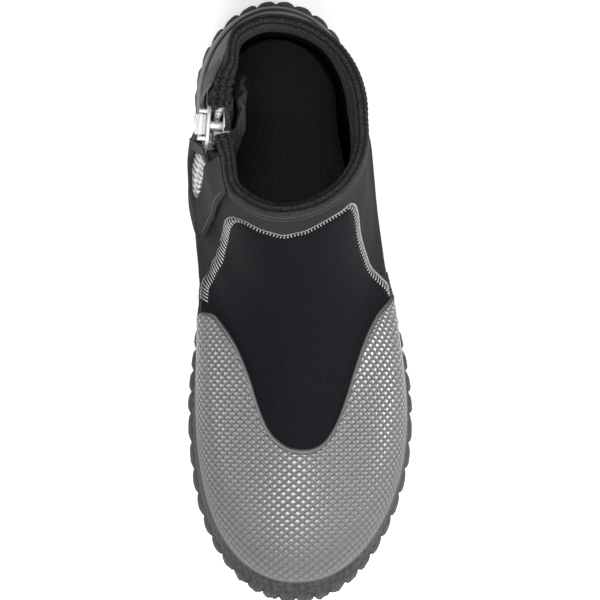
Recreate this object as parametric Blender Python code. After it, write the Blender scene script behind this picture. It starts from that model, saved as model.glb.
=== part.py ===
"""Left diving boot: neoprene upper with a side zip, grey rubber toe cap and heel counter, lugged sole.

Sizes are in millimetres and become metres where a mesh is made. +Z is up, the toe points along -Y,
the zip is on the inner side, which faces -X, and the floor under the middle of the boot is the origin.
"""
import math
from collections import Counter, namedtuple

import bmesh
import bpy
import numpy as np
from mathutils import Matrix, Vector

MM = 0.001

# Driving sizes
LENGTH = 298.3
BALL_WIDTH = 111.4
COLLAR_HEIGHT = 150.0
WALL = 5.0
GAP = 0.35
RUBBER = 1.5
HEEL_SHIFT = -12.0
TOE_SHIFT = -1.8
SIDE_OFFSET = -0.17

# Outsole
LUG_DEPTH = 4.0
LUG_COUNT = 64
SCALLOP = 1.7
TOE_SPRING = 9.0
ARCH_RISE = 3.0
RIM_THICK = 2.4
INSOLE_THICK = 4.0

# Grid of the upper: rows up to the rubber line, rows in all, columns round the foot
RUBBER_ROWS = 5
ROWS = 14
COLUMNS = 48
ZIP_COLUMN = 31

# Collar binding
BINDING_THICK = 1.2
BINDING_DROP = 9.0

# Zip
TAPE_THICK = 0.9
TOOTH_THICK = 3.0
TOOTH_REACH = 4.4
TOOTH_PITCH = 7.0
ZIP_FOOT = 70.0
ZIP_HEAD = 148.0
PLACKET_THICK = 1.3
PLACKET_FRONT = ((71.0, 20.5), (80.0, 27.0), (87.0, 31.0), (95.0, 35.8), (110.0, 40.6), (128.0, 45.0), (140.0, 47.6))
GUSSET_THICK = 1.6
SLIDER_AT = (77.6, 120.0)
SLIDER_DEPTH = -4.6
SLIDER_SIZE = (19.0, 1.7, 22.0)
SLIDER_THROAT = 5.4
PULL_SIZE = (9.0, 2.2, 17.0)
PULL_PIN = 1.1

# Rings of the last from the sole's feather line to the collar. Heights are shares of COLLAR_HEIGHT,
# y stations are shares of LENGTH, half widths are shares of BALL_WIDTH, waist and seat are shares
# of the ring's own half width. Rise is the power with which the height grows from heel to toe, and
# point is the power that makes the ring's toe end blunt (under 1) or pointed (over 1).
Ring = namedtuple("Ring", "name z_toe z_heel rise y_toe y_ball y_seat y_heel med lat waist seat point")
RINGS = (
    Ring("feather", 0.133, 0.087, 5.0, -0.449, -0.191, 0.325, 0.456, 0.413, 0.426, 0.84, 0.74, 0.94),
    Ring("bulge", 0.220, 0.227, 3.0, -0.458, -0.191, 0.325, 0.470, 0.435, 0.452, 0.85, 0.74, 0.94),
    Ring("shoulder", 0.300, 0.333, 2.0, -0.439, -0.160, 0.322, 0.468, 0.428, 0.444, 0.87, 0.75, 0.96),
    Ring("toe top", 0.373, 0.427, 1.3, -0.375, -0.060, 0.315, 0.461, 0.397, 0.424, 0.92, 0.77, 1.04),
    Ring("vamp", 0.440, 0.513, 1.0, -0.255, 0.134, 0.308, 0.450, 0.370, 0.402, 1.00, 0.82, 1.22),
    Ring("instep", 0.530, 0.593, 1.0, -0.127, 0.170, 0.302, 0.438, 0.348, 0.384, 1.00, 0.84, 1.28),
    Ring("throat", 0.640, 0.680, 1.0, -0.020, 0.195, 0.295, 0.427, 0.300, 0.373, 1.00, 0.88, 1.16),
    Ring("ankle", 0.787, 0.787, 1.0, 0.062, 0.215, 0.288, 0.418, 0.276, 0.363, 1.00, 0.95, 1.04),
    Ring("cuff", 0.900, 0.907, 1.0, 0.108, 0.235, 0.282, 0.412, 0.268, 0.357, 1.00, 1.00, 1.00),
    Ring("collar", 1.000, 1.013, 1.0, 0.127, 0.248, 0.275, 0.408, 0.265, 0.353, 1.00, 1.00, 1.00),
)
SOLE_EDGE = Ring("sole edge", 0.0, 0.0, 1.0, -0.500, -0.193, 0.332, 0.500, 0.497, 0.501, 0.80, 0.723, 0.94)
WAIST_AT_MED = 0.50
WAIST_AT_LAT = 0.62
LATERAL_FILL = 0.15

# Top edge of the grey rubber: way round the foot (0 toe, 0.25 outer side, 0.5 heel, 0.75 inner side)
# and height as a share of the rings.
Edge = namedtuple("Edge", "lap height")
RUBBER_LINE = (
    Edge(0.00, 0.463),
    Edge(0.07, 0.445),
    Edge(0.14, 0.477),
    Edge(0.18, 0.455),
    Edge(0.21, 0.410),
    Edge(0.26, 0.260),
    Edge(0.31, 0.150),
    Edge(0.37, 0.140),
    Edge(0.44, 0.280),
    Edge(0.50, 0.345),
    Edge(0.56, 0.375),
    Edge(0.60, 0.390),
    Edge(0.66, 0.390),
    Edge(0.70, 0.350),
    Edge(0.74, 0.330),
    Edge(0.79, 0.410),
    Edge(0.83, 0.465),
    Edge(0.865, 0.485),
    Edge(0.91, 0.445),
    Edge(1.00, 0.463),
)

# The zip seen from the inner side: height, y of its heel edge and toe edge, depth of the teeth.
Slit = namedtuple("Slit", "z heel toe depth")
SLIT = (
    Slit(13.0, 38.0, 20.0, 0.3),
    Slit(40.0, 36.0, 22.0, 0.3),
    Slit(70.0, 37.5, 24.5, 0.3),
    Slit(80.0, 51.0, 37.0, 0.3),
    Slit(90.0, 64.5, 50.0, 0.3),
    Slit(100.0, 75.0, 59.5, -0.5),
    Slit(109.0, 86.0, 67.5, -4.6),
    Slit(121.0, 87.5, 67.0, -4.6),
    Slit(135.0, 93.0, 63.5, -4.6),
    Slit(152.0, 104.5, 62.0, -4.5),
)


def scaled(ring):
    """The ring's columns in millimetres, as one row of numbers."""
    heights = [share * COLLAR_HEIGHT for share in ring[1:3]]
    stations = [share * LENGTH for share in ring[4:8]]
    halves = [share * BALL_WIDTH for share in ring[8:10]]
    return np.array(heights + [ring.rise] + stations + halves + list(ring[10:]))


def second_slopes(values):
    """Second derivatives at unit knots of the natural cubic through the rows of values."""
    count = len(values)
    system = np.eye(count)
    right = np.zeros_like(values)
    for i in range(1, count - 1):
        system[i, i - 1:i + 2] = (1.0, 4.0, 1.0)
        right[i] = 6.0 * (values[i + 1] - 2.0 * values[i] + values[i - 1])
    return np.linalg.solve(system, right)


def spline(values, slopes, at):
    """Value of the natural cubic at knot position at; columns come first in the result."""
    low = np.clip(np.floor(at).astype(int), 0, len(values) - 2)
    near = (at - low)[..., None]
    far = 1.0 - near
    bend = (near ** 3 - near) * slopes[low + 1] + (far ** 3 - far) * slopes[low]
    return np.moveaxis(far * values[low] + near * values[low + 1] + bend / 6.0, -1, 0)


def smooth(share):
    """Smooth step from 0 to 1."""
    share = np.clip(share, 0.0, 1.0)
    return share * share * (3.0 - 2.0 * share)


RING_ROWS = np.array([scaled(ring) for ring in RINGS])
RING_SLOPES = second_slopes(RING_ROWS)


def ring_at(t):
    """Columns of the ring at height share t."""
    return spline(RING_ROWS, RING_SLOPES, np.asarray(t, float) * (len(RINGS) - 1))


def centreline(y):
    """Sideways bend of the foot's middle line."""
    heel = HEEL_SHIFT * smooth((y + 60.0) / 160.0)
    toe = TOE_SHIFT * smooth((-70.0 - y) / 60.0)
    return heel + toe + SIDE_OFFSET


def runs(ring, width):
    """Shares of one half of a ring at which its toe quarter ends and its heel quarter begins."""
    y_toe, y_ball, y_seat, y_heel, seat = ring[3], ring[4], ring[5], ring[6], ring[10]
    toe = 1.57 * np.sqrt(((y_ball - y_toe) ** 2 + width ** 2) / 2.0)
    heel = 1.57 * np.sqrt(((y_heel - y_seat) ** 2 + (width * seat) ** 2) / 2.0)
    total = toe + heel + y_seat - y_ball
    return toe / total, 1.0 - heel / total


def outline(lap, ring):
    """Plan point of a ring: a quarter ellipse at the toe, a waisted side, a quarter ellipse at the heel."""
    y_toe, y_ball, y_seat, y_heel, med, lat, waist, seat, point = ring[3:12]
    lap = np.mod(lap, 1.0)
    inner = lap > 0.5
    half_lap = np.where(inner, 2.0 - 2.0 * lap, 2.0 * lap)
    width = np.where(inner, med, lat)
    start, end = runs(ring, width)
    toe = 0.5 * math.pi * np.clip(half_lap / start, 0.0, 1.0)
    side = np.clip((half_lap - start) / (end - start), 0.0, 1.0)
    heel = 0.5 * math.pi * np.clip((half_lap - end) / (1.0 - end), 0.0, 1.0)
    ahead = np.maximum(np.cos(toe), 0.0) ** point
    y = y_ball - (y_ball - y_toe) * ahead + (y_seat - y_ball) * side + (y_heel - y_seat) * np.sin(heel)
    at = np.where(inner, WAIST_AT_MED, WAIST_AT_LAT)
    waist = np.where(inner, waist, waist + LATERAL_FILL * (1.0 - waist))
    narrow = 1.0 - (1.0 - waist) * smooth(side / at) + (seat - waist) * smooth((side - at) / (1.0 - at))
    half = width * np.sin(toe) ** point * narrow * np.cos(heel)
    return centreline(y) + np.where(inner, -half, half), y


def ring_height(y, ring):
    """Height of a ring at station y."""
    z_toe, z_heel, rise, y_toe, y_heel = ring[0], ring[1], ring[2], ring[3], ring[6]
    share = np.clip((y_heel - y) / (y_heel - y_toe), 0.0, 1.0)
    return z_heel + (z_toe - z_heel) * share ** rise


def upper_point(lap, t):
    """Point of the upper's outer face."""
    ring = ring_at(t)
    x, y = outline(lap, ring)
    return np.stack([x, y, ring_height(y, ring)], -1)


def upper_normal(lap, t):
    """Outward direction of the upper's outer face."""
    step = 0.002
    low = np.clip(t - step, 0.0, 1.0)
    high = np.clip(t + step, 0.0, 1.0)
    round_way = upper_point(lap + step, t) - upper_point(lap - step, t)
    up_way = upper_point(lap, high) - upper_point(lap, low)
    normal = np.cross(round_way, up_way)
    return normal / np.linalg.norm(normal, axis=-1, keepdims=True)


def upper_offset(lap, t, depth):
    """Point that lies depth outside the upper's outer face."""
    return upper_point(lap, t) + upper_normal(lap, t) * np.asarray(depth, float)[..., None]


def lap_at(y, t):
    """Way round the inner side at which the ring t reaches station y."""
    ring = ring_at(t)
    y_toe, y_ball, y_seat, y_heel, med = ring[3], ring[4], ring[5], ring[6], ring[7]
    start, end = runs(ring, med)
    ahead = np.clip((y_ball - y) / (y_ball - y_toe), 0.0, 1.0) ** (1.0 / ring[11])
    toe = start * np.arccos(ahead) / (0.5 * math.pi)
    side = start + (end - start) * (y - y_ball) / (y_seat - y_ball)
    turn = np.arcsin(np.clip((y - y_seat) / (y_heel - y_seat), 0.0, 1.0)) / (0.5 * math.pi)
    half_lap = np.where(y < y_ball, toe, np.where(y < y_seat, side, end + (1.0 - end) * turn))
    return 1.0 - 0.5 * half_lap


def inner_side(y, z):
    """Way round and height share of the point of the inner side at station y and height z."""
    y, z = np.broadcast_arrays(np.asarray(y, float), np.asarray(z, float))
    low = np.zeros(y.shape)
    high = np.ones(y.shape)
    for _ in range(40):
        middle = 0.5 * (low + high)
        above = ring_height(y, ring_at(middle)) > z
        high = np.where(above, middle, high)
        low = np.where(above, low, middle)
    return lap_at(y, low), low


def slit_at(z):
    """Heel edge, toe edge and depth of the zip at height z."""
    table = np.array(SLIT)
    return [np.interp(z, table[:, 0], table[:, k]) for k in (1, 2, 3)]


def rubber_line(lap):
    """Height share of the rubber's top edge, rounded between its stations."""
    stations = np.array([edge.lap for edge in RUBBER_LINE])
    heights = np.array([edge.height for edge in RUBBER_LINE])
    reach = np.linspace(-0.02, 0.02, 9)
    return np.mean([np.interp(np.mod(lap + shift, 1.0), stations, heights) for shift in reach], axis=0)


def row_height(row, lap):
    """Height share of a grid row: even steps below and above the rubber line."""
    edge = rubber_line(lap)
    below = edge * row / RUBBER_ROWS
    above = edge + (1.0 - edge) * (row - RUBBER_ROWS) / (ROWS - RUBBER_ROWS)
    return np.where(row <= RUBBER_ROWS, below, above)


def surface_grid():
    """Ways round and height shares of the grid; two columns of the inner side follow the zip's edges."""
    laps = np.zeros((ROWS + 1, COLUMNS))
    half = COLUMNS // 2
    for row in range(ROWS + 1):
        ends = []
        for edge in (0, 1):
            y = np.array(50.0)
            lap = np.array(0.7)
            for _ in range(25):
                t = row_height(row, lap)
                z = ring_height(y, ring_at(t))
                y = slit_at(z)[edge]
                lap = lap_at(y, t)
            ends.append(float(lap))
        laps[row, :half] = np.linspace(0.0, 0.5, half, endpoint=False)
        laps[row, half:ZIP_COLUMN + 1] = np.linspace(0.5, ends[0], ZIP_COLUMN + 1 - half)
        laps[row, ZIP_COLUMN + 1:] = np.linspace(ends[1], 1.0, COLUMNS - ZIP_COLUMN, endpoint=True)[:-1]
    rows = np.arange(ROWS + 1)[:, None] * np.ones((1, COLUMNS))
    return laps, row_height(rows, laps)


def material(name, colour, roughness):
    """Principled material."""
    made = bpy.data.materials.new(name)
    made.use_nodes = True
    shader = made.node_tree.nodes["Principled BSDF"]
    shader.inputs["Base Color"].default_value = (*colour, 1.0)
    shader.inputs["Roughness"].default_value = roughness
    made.diffuse_color = (*colour, 1.0)
    return made


def add_object(name, verts, faces, finish, smooth_shaded=True):
    """Object from points in millimetres."""
    mesh = bpy.data.meshes.new(name)
    mesh.from_pydata((np.asarray(verts).reshape(-1, 3) * MM).tolist(), [], faces)
    tidy = bmesh.new()
    tidy.from_mesh(mesh)
    bmesh.ops.delete(tidy, geom=[v for v in tidy.verts if not v.link_faces], context="VERTS")
    bmesh.ops.triangulate(tidy, faces=tidy.faces)
    tidy.to_mesh(mesh)
    tidy.free()
    mesh.materials.append(finish)
    mesh.polygons.foreach_set("use_smooth", [smooth_shaded] * len(mesh.polygons))
    made = bpy.data.objects.new(name, mesh)
    bpy.context.collection.objects.link(made)
    return made


def sheet(name, outer, inner, finish, wrap=False, keep=None, smooth_shaded=True):
    """Closed solid between two grids of points, walled along every edge of the kept cells."""
    rows, columns = outer.shape[:2]
    count = rows * columns
    cells = columns if wrap else columns - 1
    faces = []
    for i in range(rows - 1):
        for j in range(cells):
            if keep is None or keep[i, j]:
                k = (j + 1) % columns
                faces.append((i * columns + j, i * columns + k, (i + 1) * columns + k, (i + 1) * columns + j))
    sides = Counter((a, b) for face in faces for a, b in zip(face, face[1:] + face[:1]))
    walls = [(b, a, a + count, b + count) for a, b in sides if (b, a) not in sides]
    backs = [tuple(corner + count for corner in reversed(face)) for face in faces]
    return add_object(name, np.concatenate([outer.reshape(-1, 3), inner.reshape(-1, 3)]),
                      faces + backs + walls, finish, smooth_shaded)


def sweep(name, sections, finish):
    """Solid through a row of closed sections, with flat ends."""
    count, points = sections.shape[:2]
    faces = []
    for i in range(count - 1):
        for j in range(points):
            k = (j + 1) % points
            faces.append((i * points + j, i * points + k, (i + 1) * points + k, (i + 1) * points + j))
    faces.append(tuple(reversed(range(points))))
    faces.append(tuple((count - 1) * points + j for j in range(points)))
    return add_object(name, sections, faces, finish)


def tread_base(y):
    """Height of the sole's underside between the lugs."""
    spring = TOE_SPRING * np.clip((-88.0 - y) / 61.0, 0.0, 1.0) ** 2
    arch = ARCH_RISE * np.cos(np.clip((y - 32.0) / 34.0, -1.0, 1.0) * 0.5 * math.pi) ** 2
    return LUG_DEPTH + spring + arch


def sole_ring(grow):
    """Sole outline grown by a distance."""
    ring = scaled(SOLE_EDGE)
    ring[3] -= grow
    ring[6] += grow
    ring[7:9] += grow
    return ring[:, None]


def build_outsole(finish):
    """Cup sole: cavity, rim, ledge, scalloped lug edge, underside with arch and toe spring, lugs."""
    count = LUG_COUNT * 2
    lap = np.arange(count) / count
    scallop = np.where(np.arange(count) % 2 == 0, -0.6 * SCALLOP, 0.4 * SCALLOP)
    seat = 2.0 * GAP + RUBBER

    def edge_row(grow, z):
        x, y = outline(lap, sole_ring(0.0) + 0.0)
        wide_x, wide_y = outline(lap, sole_ring(1.0))
        ahead = np.stack([wide_x - x, wide_y - y], -1)
        ahead /= np.linalg.norm(ahead, axis=-1, keepdims=True)
        x = x + ahead[:, 0] * grow
        y = y + ahead[:, 1] * grow
        return np.stack([x, y, z(y)], -1)

    def inward(row, share, z):
        y = row[:, 1]
        stop = np.clip(y, -105.0, 108.0)
        middle = centreline(stop)
        spot = np.stack([middle + (row[:, 0] - middle) * share, stop + (y - stop) * share], -1)
        return np.concatenate([spot, z(spot[:, 1])[:, None]], -1)

    floor_edge = upper_offset(lap, np.zeros(count), np.full(count, seat))
    floor_edge[:, 2] = upper_point(lap, np.zeros(count))[:, 2] - GAP
    floor_mid = inward(floor_edge, 0.45, lambda y: np.interp(y, (-140.0, -110.0, -85.0, 140.0),
                                                             (18.0, 14.6, 12.6, 12.6)))
    rim = [upper_offset(lap, np.full(count, t), np.full(count, seat)) for t in (0.03, 0.06)]
    rim_out = upper_offset(lap, np.full(count, 0.06), np.full(count, seat + RIM_THICK))
    rim_out[:, 2] -= 0.6
    ledge = edge_row(-2.6, lambda y: tread_base(y) + 10.0)
    lug_top = edge_row(0.0, lambda y: tread_base(y) + 8.2)
    lug_low = edge_row(0.0, lambda y: tread_base(y) + 1.0)
    base = edge_row(-1.6, tread_base)
    away = edge_row(1.0, lambda y: 0.0 * y) - edge_row(0.0, lambda y: 0.0 * y)
    lug_top += away * scallop[:, None]
    lug_low += away * scallop[:, None]
    base += away * scallop[:, None]
    rows = [floor_mid, floor_edge] + rim + [rim_out, ledge, lug_top, lug_low, base]
    rows += [inward(base, share, tread_base) for share in (0.72, 0.30)]
    verts = np.concatenate(rows)
    faces = []
    bands = []
    for i in range(len(rows) - 1):
        for j in range(count):
            k = (j + 1) % count
            faces.append((i * count + j, (i + 1) * count + j, (i + 1) * count + k, i * count + k))
            bands.append((i, j))
    last = (len(rows) - 1) * count
    for j in range(count // 2):
        pairs = [j, j + 1, (count - j - 1) % count, (count - j) % count]
        corners = list(dict.fromkeys(pairs))
        faces.append(tuple(corner for corner in corners))
        faces.append(tuple(last + corner for corner in reversed(corners)))
        bands += [(-1, j), (-1, j)]
    mesh = bpy.data.meshes.new("outsole")
    mesh.from_pydata((verts * MM).tolist(), [], faces)
    work = bmesh.new()
    work.from_mesh(mesh)
    work.faces.ensure_lookup_table()
    work.normal_update()
    edge_band = len(rows) - 3
    groups = {}
    for face, (i, j) in zip(list(work.faces), bands):
        if i == edge_band and j % 2 == 0:
            groups.setdefault(("edge", j // 2), []).append(face)
        if i == edge_band + 1 and j % 4 in (1, 2):
            groups.setdefault(("mid", j // 4), []).append(face)
        if i == -1 and j % 4 in (1, 2) and 2 < j < count // 2 - 3 and face.normal.z < 0.0:
            groups.setdefault(("core", j // 4), []).append(face)
    for faces_of_lug in groups.values():
        raise_lug(work, faces_of_lug)
    work.to_mesh(mesh)
    work.free()
    return finish_mesh("outsole", mesh, finish)


def raise_lug(work, faces):
    """Draws one lug down out of the underside with sloping flanks."""
    drawn = bmesh.ops.extrude_face_region(work, geom=faces)
    verts = [item for item in drawn["geom"] if isinstance(item, bmesh.types.BMVert)]
    bmesh.ops.delete(work, geom=faces, context="FACES_KEEP_BOUNDARY")
    centre = sum((vert.co for vert in verts), Vector()) / len(verts)
    for vert in verts:
        vert.co.x += (centre.x - vert.co.x) * 0.12
        vert.co.y += (centre.y - vert.co.y) * 0.12
        vert.co.z -= LUG_DEPTH * MM


def finish_mesh(name, mesh, finish):
    """Object from a mesh that is already in metres, flat shaded."""
    work = bmesh.new()
    work.from_mesh(mesh)
    bmesh.ops.triangulate(work, faces=work.faces)
    bmesh.ops.recalc_face_normals(work, faces=work.faces)
    work.to_mesh(mesh)
    work.free()
    mesh.materials.append(finish)
    made = bpy.data.objects.new(name, mesh)
    bpy.context.collection.objects.link(made)
    return made


def build_insole(finish):
    """Footbed that lies on the sole's floor inside the upper."""
    count = COLUMNS
    lap = np.arange(count) / count
    edge = upper_offset(lap, np.full(count, 0.01), np.full(count, -WALL - 1.3))
    floor = upper_point(lap, np.zeros(count))[:, 2]
    low = np.stack([edge[:, 0], edge[:, 1], floor + 0.1], -1)
    high = low + np.array([0.0, 0.0, INSOLE_THICK])
    faces = []
    for j in range(count):
        k = (j + 1) % count
        faces.append((j, k, count + k, count + j))
    for j in range(count // 2):
        corners = list(dict.fromkeys([j, j + 1, (count - j - 1) % count, (count - j) % count]))
        faces.append(tuple(count + corner for corner in corners))
        faces.append(tuple(reversed(corners)))
    return add_object("insole", np.concatenate([low, high]), faces, finish)


def build_upper(laps, heights, finish):
    """Hollow neoprene bootie, open at the collar, at the zip and underneath."""
    keep = np.ones((ROWS, COLUMNS), bool)
    keep[RUBBER_ROWS + 1:, ZIP_COLUMN] = False
    outer = upper_offset(laps, heights, np.zeros(laps.shape))
    inner = upper_offset(laps, heights, np.full(laps.shape, -WALL))
    return sheet("upper", outer, inner, finish, wrap=True, keep=keep)


def build_rubber(name, columns, laps, heights, finish):
    """Rubber overlay on the rows below the rubber line, over a run of columns."""
    pick = np.mod(np.asarray(columns), COLUMNS)
    lap = laps[:RUBBER_ROWS + 1, pick].copy()
    lap[:, 0] += 0.0005
    lap[:, -1] -= 0.0005
    height = heights[:RUBBER_ROWS + 1, pick]
    outer = upper_offset(lap, height, np.full(lap.shape, GAP + RUBBER))
    inner = upper_offset(lap, height, np.full(lap.shape, GAP))
    for face in (outer, inner):
        face[0, :, 2] = upper_point(lap[0], height[0])[:, 2]
    return sheet(name, outer, inner, finish)


def build_binding(laps, finish):
    """Tape folded over the collar edge, from the zip's toe edge round the front and heel to its heel edge."""
    order = np.mod(np.arange(ZIP_COLUMN + 1, ZIP_COLUMN + 1 + COLUMNS), COLUMNS)
    lap = laps[ROWS, order]
    top = np.ones(lap.shape)
    down = top - BINDING_DROP / 140.0
    rise = upper_point(lap, top) - upper_point(lap, top - 0.01)
    rise /= np.linalg.norm(rise, axis=-1, keepdims=True)
    out = GAP + BINDING_THICK
    deep = -WALL - GAP - BINDING_THICK
    profile = ((down, out, 0.0), (top, out, 0.0), (top, -0.5 * WALL, 1.2 * out), (top, deep, 0.0),
               (down, deep, 0.0), (down, -WALL - GAP, 0.0), (top, -WALL - GAP, GAP), (top, GAP, GAP),
               (down, GAP, 0.0))
    points = [upper_offset(lap, t, np.full(lap.shape, depth)) + rise * lift for t, depth, lift in profile]
    return sweep("collar_binding", np.stack(points[::-1], 1), finish)


def zip_strip(name, share_of, depth_of, thick, z, finish):
    """Strip that follows the zip on the inner side: cross shares by columns, heights by rows."""
    heel, toe, depth = slit_at(z)
    y = share_of(heel, toe)
    height = np.broadcast_to(z, y.shape)
    lap, t = inner_side(y, height)
    middle = depth_of(depth, y, heel, toe)
    outer = upper_offset(lap, t, middle + 0.5 * thick)
    inner = upper_offset(lap, t, middle - 0.5 * thick)
    return sheet(name, np.swapaxes(outer, 0, 1), np.swapaxes(inner, 0, 1), finish)


def tape_reach(heel, toe):
    """Distance from a zip edge to the root of its teeth."""
    return np.minimum(0.5 * (heel - toe) - 3.9, 4.6)


def build_tapes(finish):
    """The two zip tapes, each from its edge of the slit to the root of its teeth."""
    z = np.linspace(ZIP_FOOT + 6.0, ZIP_HEAD, 22)

    def heel_side(heel, toe):
        reach = tape_reach(heel, toe)
        return np.stack([heel - 1.5, heel - reach])

    def toe_side(heel, toe):
        reach = tape_reach(heel, toe)
        return np.stack([toe + reach, toe + 0.9])

    level = lambda depth, y, heel, toe: np.broadcast_to(depth, y.shape)
    return [zip_strip("zip_tape_heel", heel_side, level, TAPE_THICK, z, finish),
            zip_strip("zip_tape_toe", toe_side, level, TAPE_THICK, z, finish)]


def build_teeth(finish):
    """The two rows of teeth, stepped along their free edges and half a pitch apart."""
    steps = int((ZIP_HEAD - ZIP_FOOT - 8.0) / TOOTH_PITCH * 1.25)
    pitch = (ZIP_HEAD - ZIP_FOOT - 8.0) / steps
    made = []
    for name, shift, side in (("zip_teeth_heel", 0.0, 1.0), ("zip_teeth_toe", 0.5, -1.0)):
        start = ZIP_FOOT + 5.0 + (np.arange(steps) + shift) * pitch
        z = np.stack([start, start + 0.04 * pitch, start + 0.38 * pitch, start + 0.42 * pitch], 1).ravel()
        out = np.tile((0.0, 1.0, 1.0, 0.0), steps)

        def across(heel, toe, side=side, out=out):
            reach = tape_reach(heel, toe)
            root = heel - reach - 0.8 if side > 0 else toe + reach + 0.8
            neck = root - side * 1.6
            tip = neck - side * (TOOTH_REACH - 1.9) * out
            return np.stack([root, tip] if side > 0 else [tip, root])

        level = lambda depth, y, heel, toe: np.broadcast_to(depth, y.shape)
        made.append(zip_strip(name, across, level, TOOTH_THICK, z, finish))
    return made


def build_plackets(finish):
    """Fabric strips beside the zip; their lips part as a lens in the middle of the zip and cover its foot."""
    z = np.linspace(ZIP_FOOT + 1.0, ZIP_HEAD - 9.5, 20)
    part = smooth((z - 82.0) / 12.0)
    raised = 1.0 - smooth((z - 93.0) / 6.0)
    shares = np.array([0.0, 0.3, 0.65, 1.0])
    width = np.interp(z, (71.0, 80.0, 140.0), (4.0, 9.0, 11.0))
    front = np.interp(z, *zip(*PLACKET_FRONT))

    def heel_side(heel, toe):
        middle = 0.5 * (heel + toe) + 0.5
        lip = middle + (heel + 0.2 - middle) * part
        return (heel + width) + (lip - heel - width) * shares[:, None]

    def toe_side(heel, toe):
        middle = 0.5 * (heel + toe) - 0.5
        lip = middle + (toe - 0.2 - middle) * part
        return lip + (front - lip) * shares[:, None]

    def level(depth, y, heel, toe):
        reach = np.clip(np.maximum(y - heel, toe - y), -3.0, 3.0)
        over = 1.0 - smooth((reach + 1.0) / 3.5)
        return 4.0 * GAP + 0.5 * PLACKET_THICK + over * raised * 1.7

    return [zip_strip("placket_heel", heel_side, level, PLACKET_THICK, z, finish),
            zip_strip("placket_toe", toe_side, level, PLACKET_THICK, z, finish)]


def build_gusset(finish):
    """Folded panel that closes the zip opening from inside."""
    z = np.linspace(ZIP_FOOT + 2.0, ZIP_HEAD, 11)
    shares = np.linspace(-0.28, 1.28, 14)

    def across(heel, toe):
        return heel + (toe - heel) * shares[:, None]

    def level(depth, y, heel, toe):
        place = (shares[:, None] + 0.28) / 1.56
        bag = np.sin(math.pi * place) ** 0.4 * np.interp(z, (56.0, 80.0, 100.0, 148.0), (2.0, 3.0, 8.5, 9.0))
        fold = 1.6 * np.sin(6.0 * math.pi * place) * np.sin(math.pi * place) * smooth((z - 105.0) / 35.0)
        clear = 2.0 * GAP + (BINDING_THICK + GAP) * smooth((z - 128.0) / 8.0)
        return -WALL - clear - 0.5 * GUSSET_THICK - bag - fold

    return zip_strip("zip_gusset", across, level, GUSSET_THICK, z, finish)


def build_keeper(finish):
    """Short band across the zip below the slider, sewn to both plackets."""
    along = np.linspace(0.0, 1.0, 9)
    y = 80.5 - 22.0 * along
    z = 97.5 + 20.0 * along
    lean = np.array([-0.67, -0.74]) * 2.4
    level = 5.0 * GAP + PLACKET_THICK + 0.6
    grid_y = np.stack([y + lean[0], y - lean[0]])
    grid_z = np.stack([z + lean[1], z - lean[1]])
    lap, t = inner_side(grid_y, grid_z)
    outer = upper_offset(lap, t, np.full(lap.shape, level + 0.6))
    inner = upper_offset(lap, t, np.full(lap.shape, level - 0.6))
    return sheet("zip_keeper", outer, inner, finish)


def box(size, centre, taper=1.0):
    """Corner points and faces of a box whose lower end is narrowed across by taper."""
    half = np.array(size) / 2.0
    corners = []
    for sz in (-1, 1):
        for sx, sy in ((-1, -1), (1, -1), (1, 1), (-1, 1)):
            wide = taper if sz < 0 else 1.0
            corners.append(np.array(centre) + half * np.array([sx * wide, sy, sz]))
    faces = [(3, 2, 1, 0), (4, 5, 6, 7)]
    for j in range(4):
        k = (j + 1) % 4
        faces.append((j, k, 4 + k, 4 + j))
    return np.array(corners), faces


def fuse(name, pieces, finish):
    """One solid from overlapping pieces by exact unions."""
    whole = add_object(name, *pieces[0], finish, smooth_shaded=False)
    for number, piece in enumerate(pieces[1:]):
        cutter = add_object(f"{name}_piece_{number}", *piece, finish, smooth_shaded=False)
        cutter.hide_render = True
        cutter.display_type = "WIRE"
        union = whole.modifiers.new(f"union_{number}", "BOOLEAN")
        union.operation = "UNION"
        union.solver = "EXACT"
        union.object = cutter
    return whole


def slider_frame():
    """Placement of the slider: x across the zip towards the heel, y outwards, z up along the zip."""
    lap, t = inner_side(*SLIDER_AT)
    centre = upper_offset(lap, t, np.array(SLIDER_DEPTH))
    outward = Vector(upper_normal(lap, t))
    across = outward.cross(Vector((0.0, 0.0, 1.0))).normalized()
    frame = Matrix.Identity(4)
    for axis, column in enumerate((across, outward, across.cross(outward))):
        frame.col[axis][:3] = column
    frame.translation = Vector(centre) * MM
    return frame


def pin_height():
    """Height of the pull's pin above the slider's middle."""
    return 0.5 * SLIDER_SIZE[2] - 4.0


def pin_out():
    """Distance of the pull's pin from the slider's middle plane."""
    return 0.5 * SLIDER_THROAT + SLIDER_SIZE[1] + 2.6


def build_slider(finish):
    """Slider: two plates, the diamond between them and the bail that carries the pull."""
    wide, thick, tall = SLIDER_SIZE
    plate = 0.5 * (SLIDER_THROAT + thick)
    pieces = []
    for side in (1.0, -1.0):
        pieces.append(box((wide, thick, tall), (0.0, side * plate, 0.0), taper=0.72))
    pieces.append(box((4.2, SLIDER_THROAT + 0.6, 4.5), (0.0, 0.0, 0.5 * tall - 2.25), taper=0.25))
    foot = plate + 0.5 * thick
    reach = pin_out() - foot + PULL_PIN
    for side in (1.0, -1.0):
        pieces.append(box((2.0, reach + 0.4, 4.0), (side * 6.0, foot + 0.5 * reach - 0.2, pin_height())))
    pieces.append(box((12.0, 2.0 * PULL_PIN * 0.8, 2.0 * PULL_PIN * 0.8), (0.0, pin_out(), pin_height())))
    slider = fuse("zip_slider", pieces, finish)
    slider.matrix_world = slider_frame()
    for union in slider.modifiers:
        union.object.matrix_world = slider.matrix_world
    return slider


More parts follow.
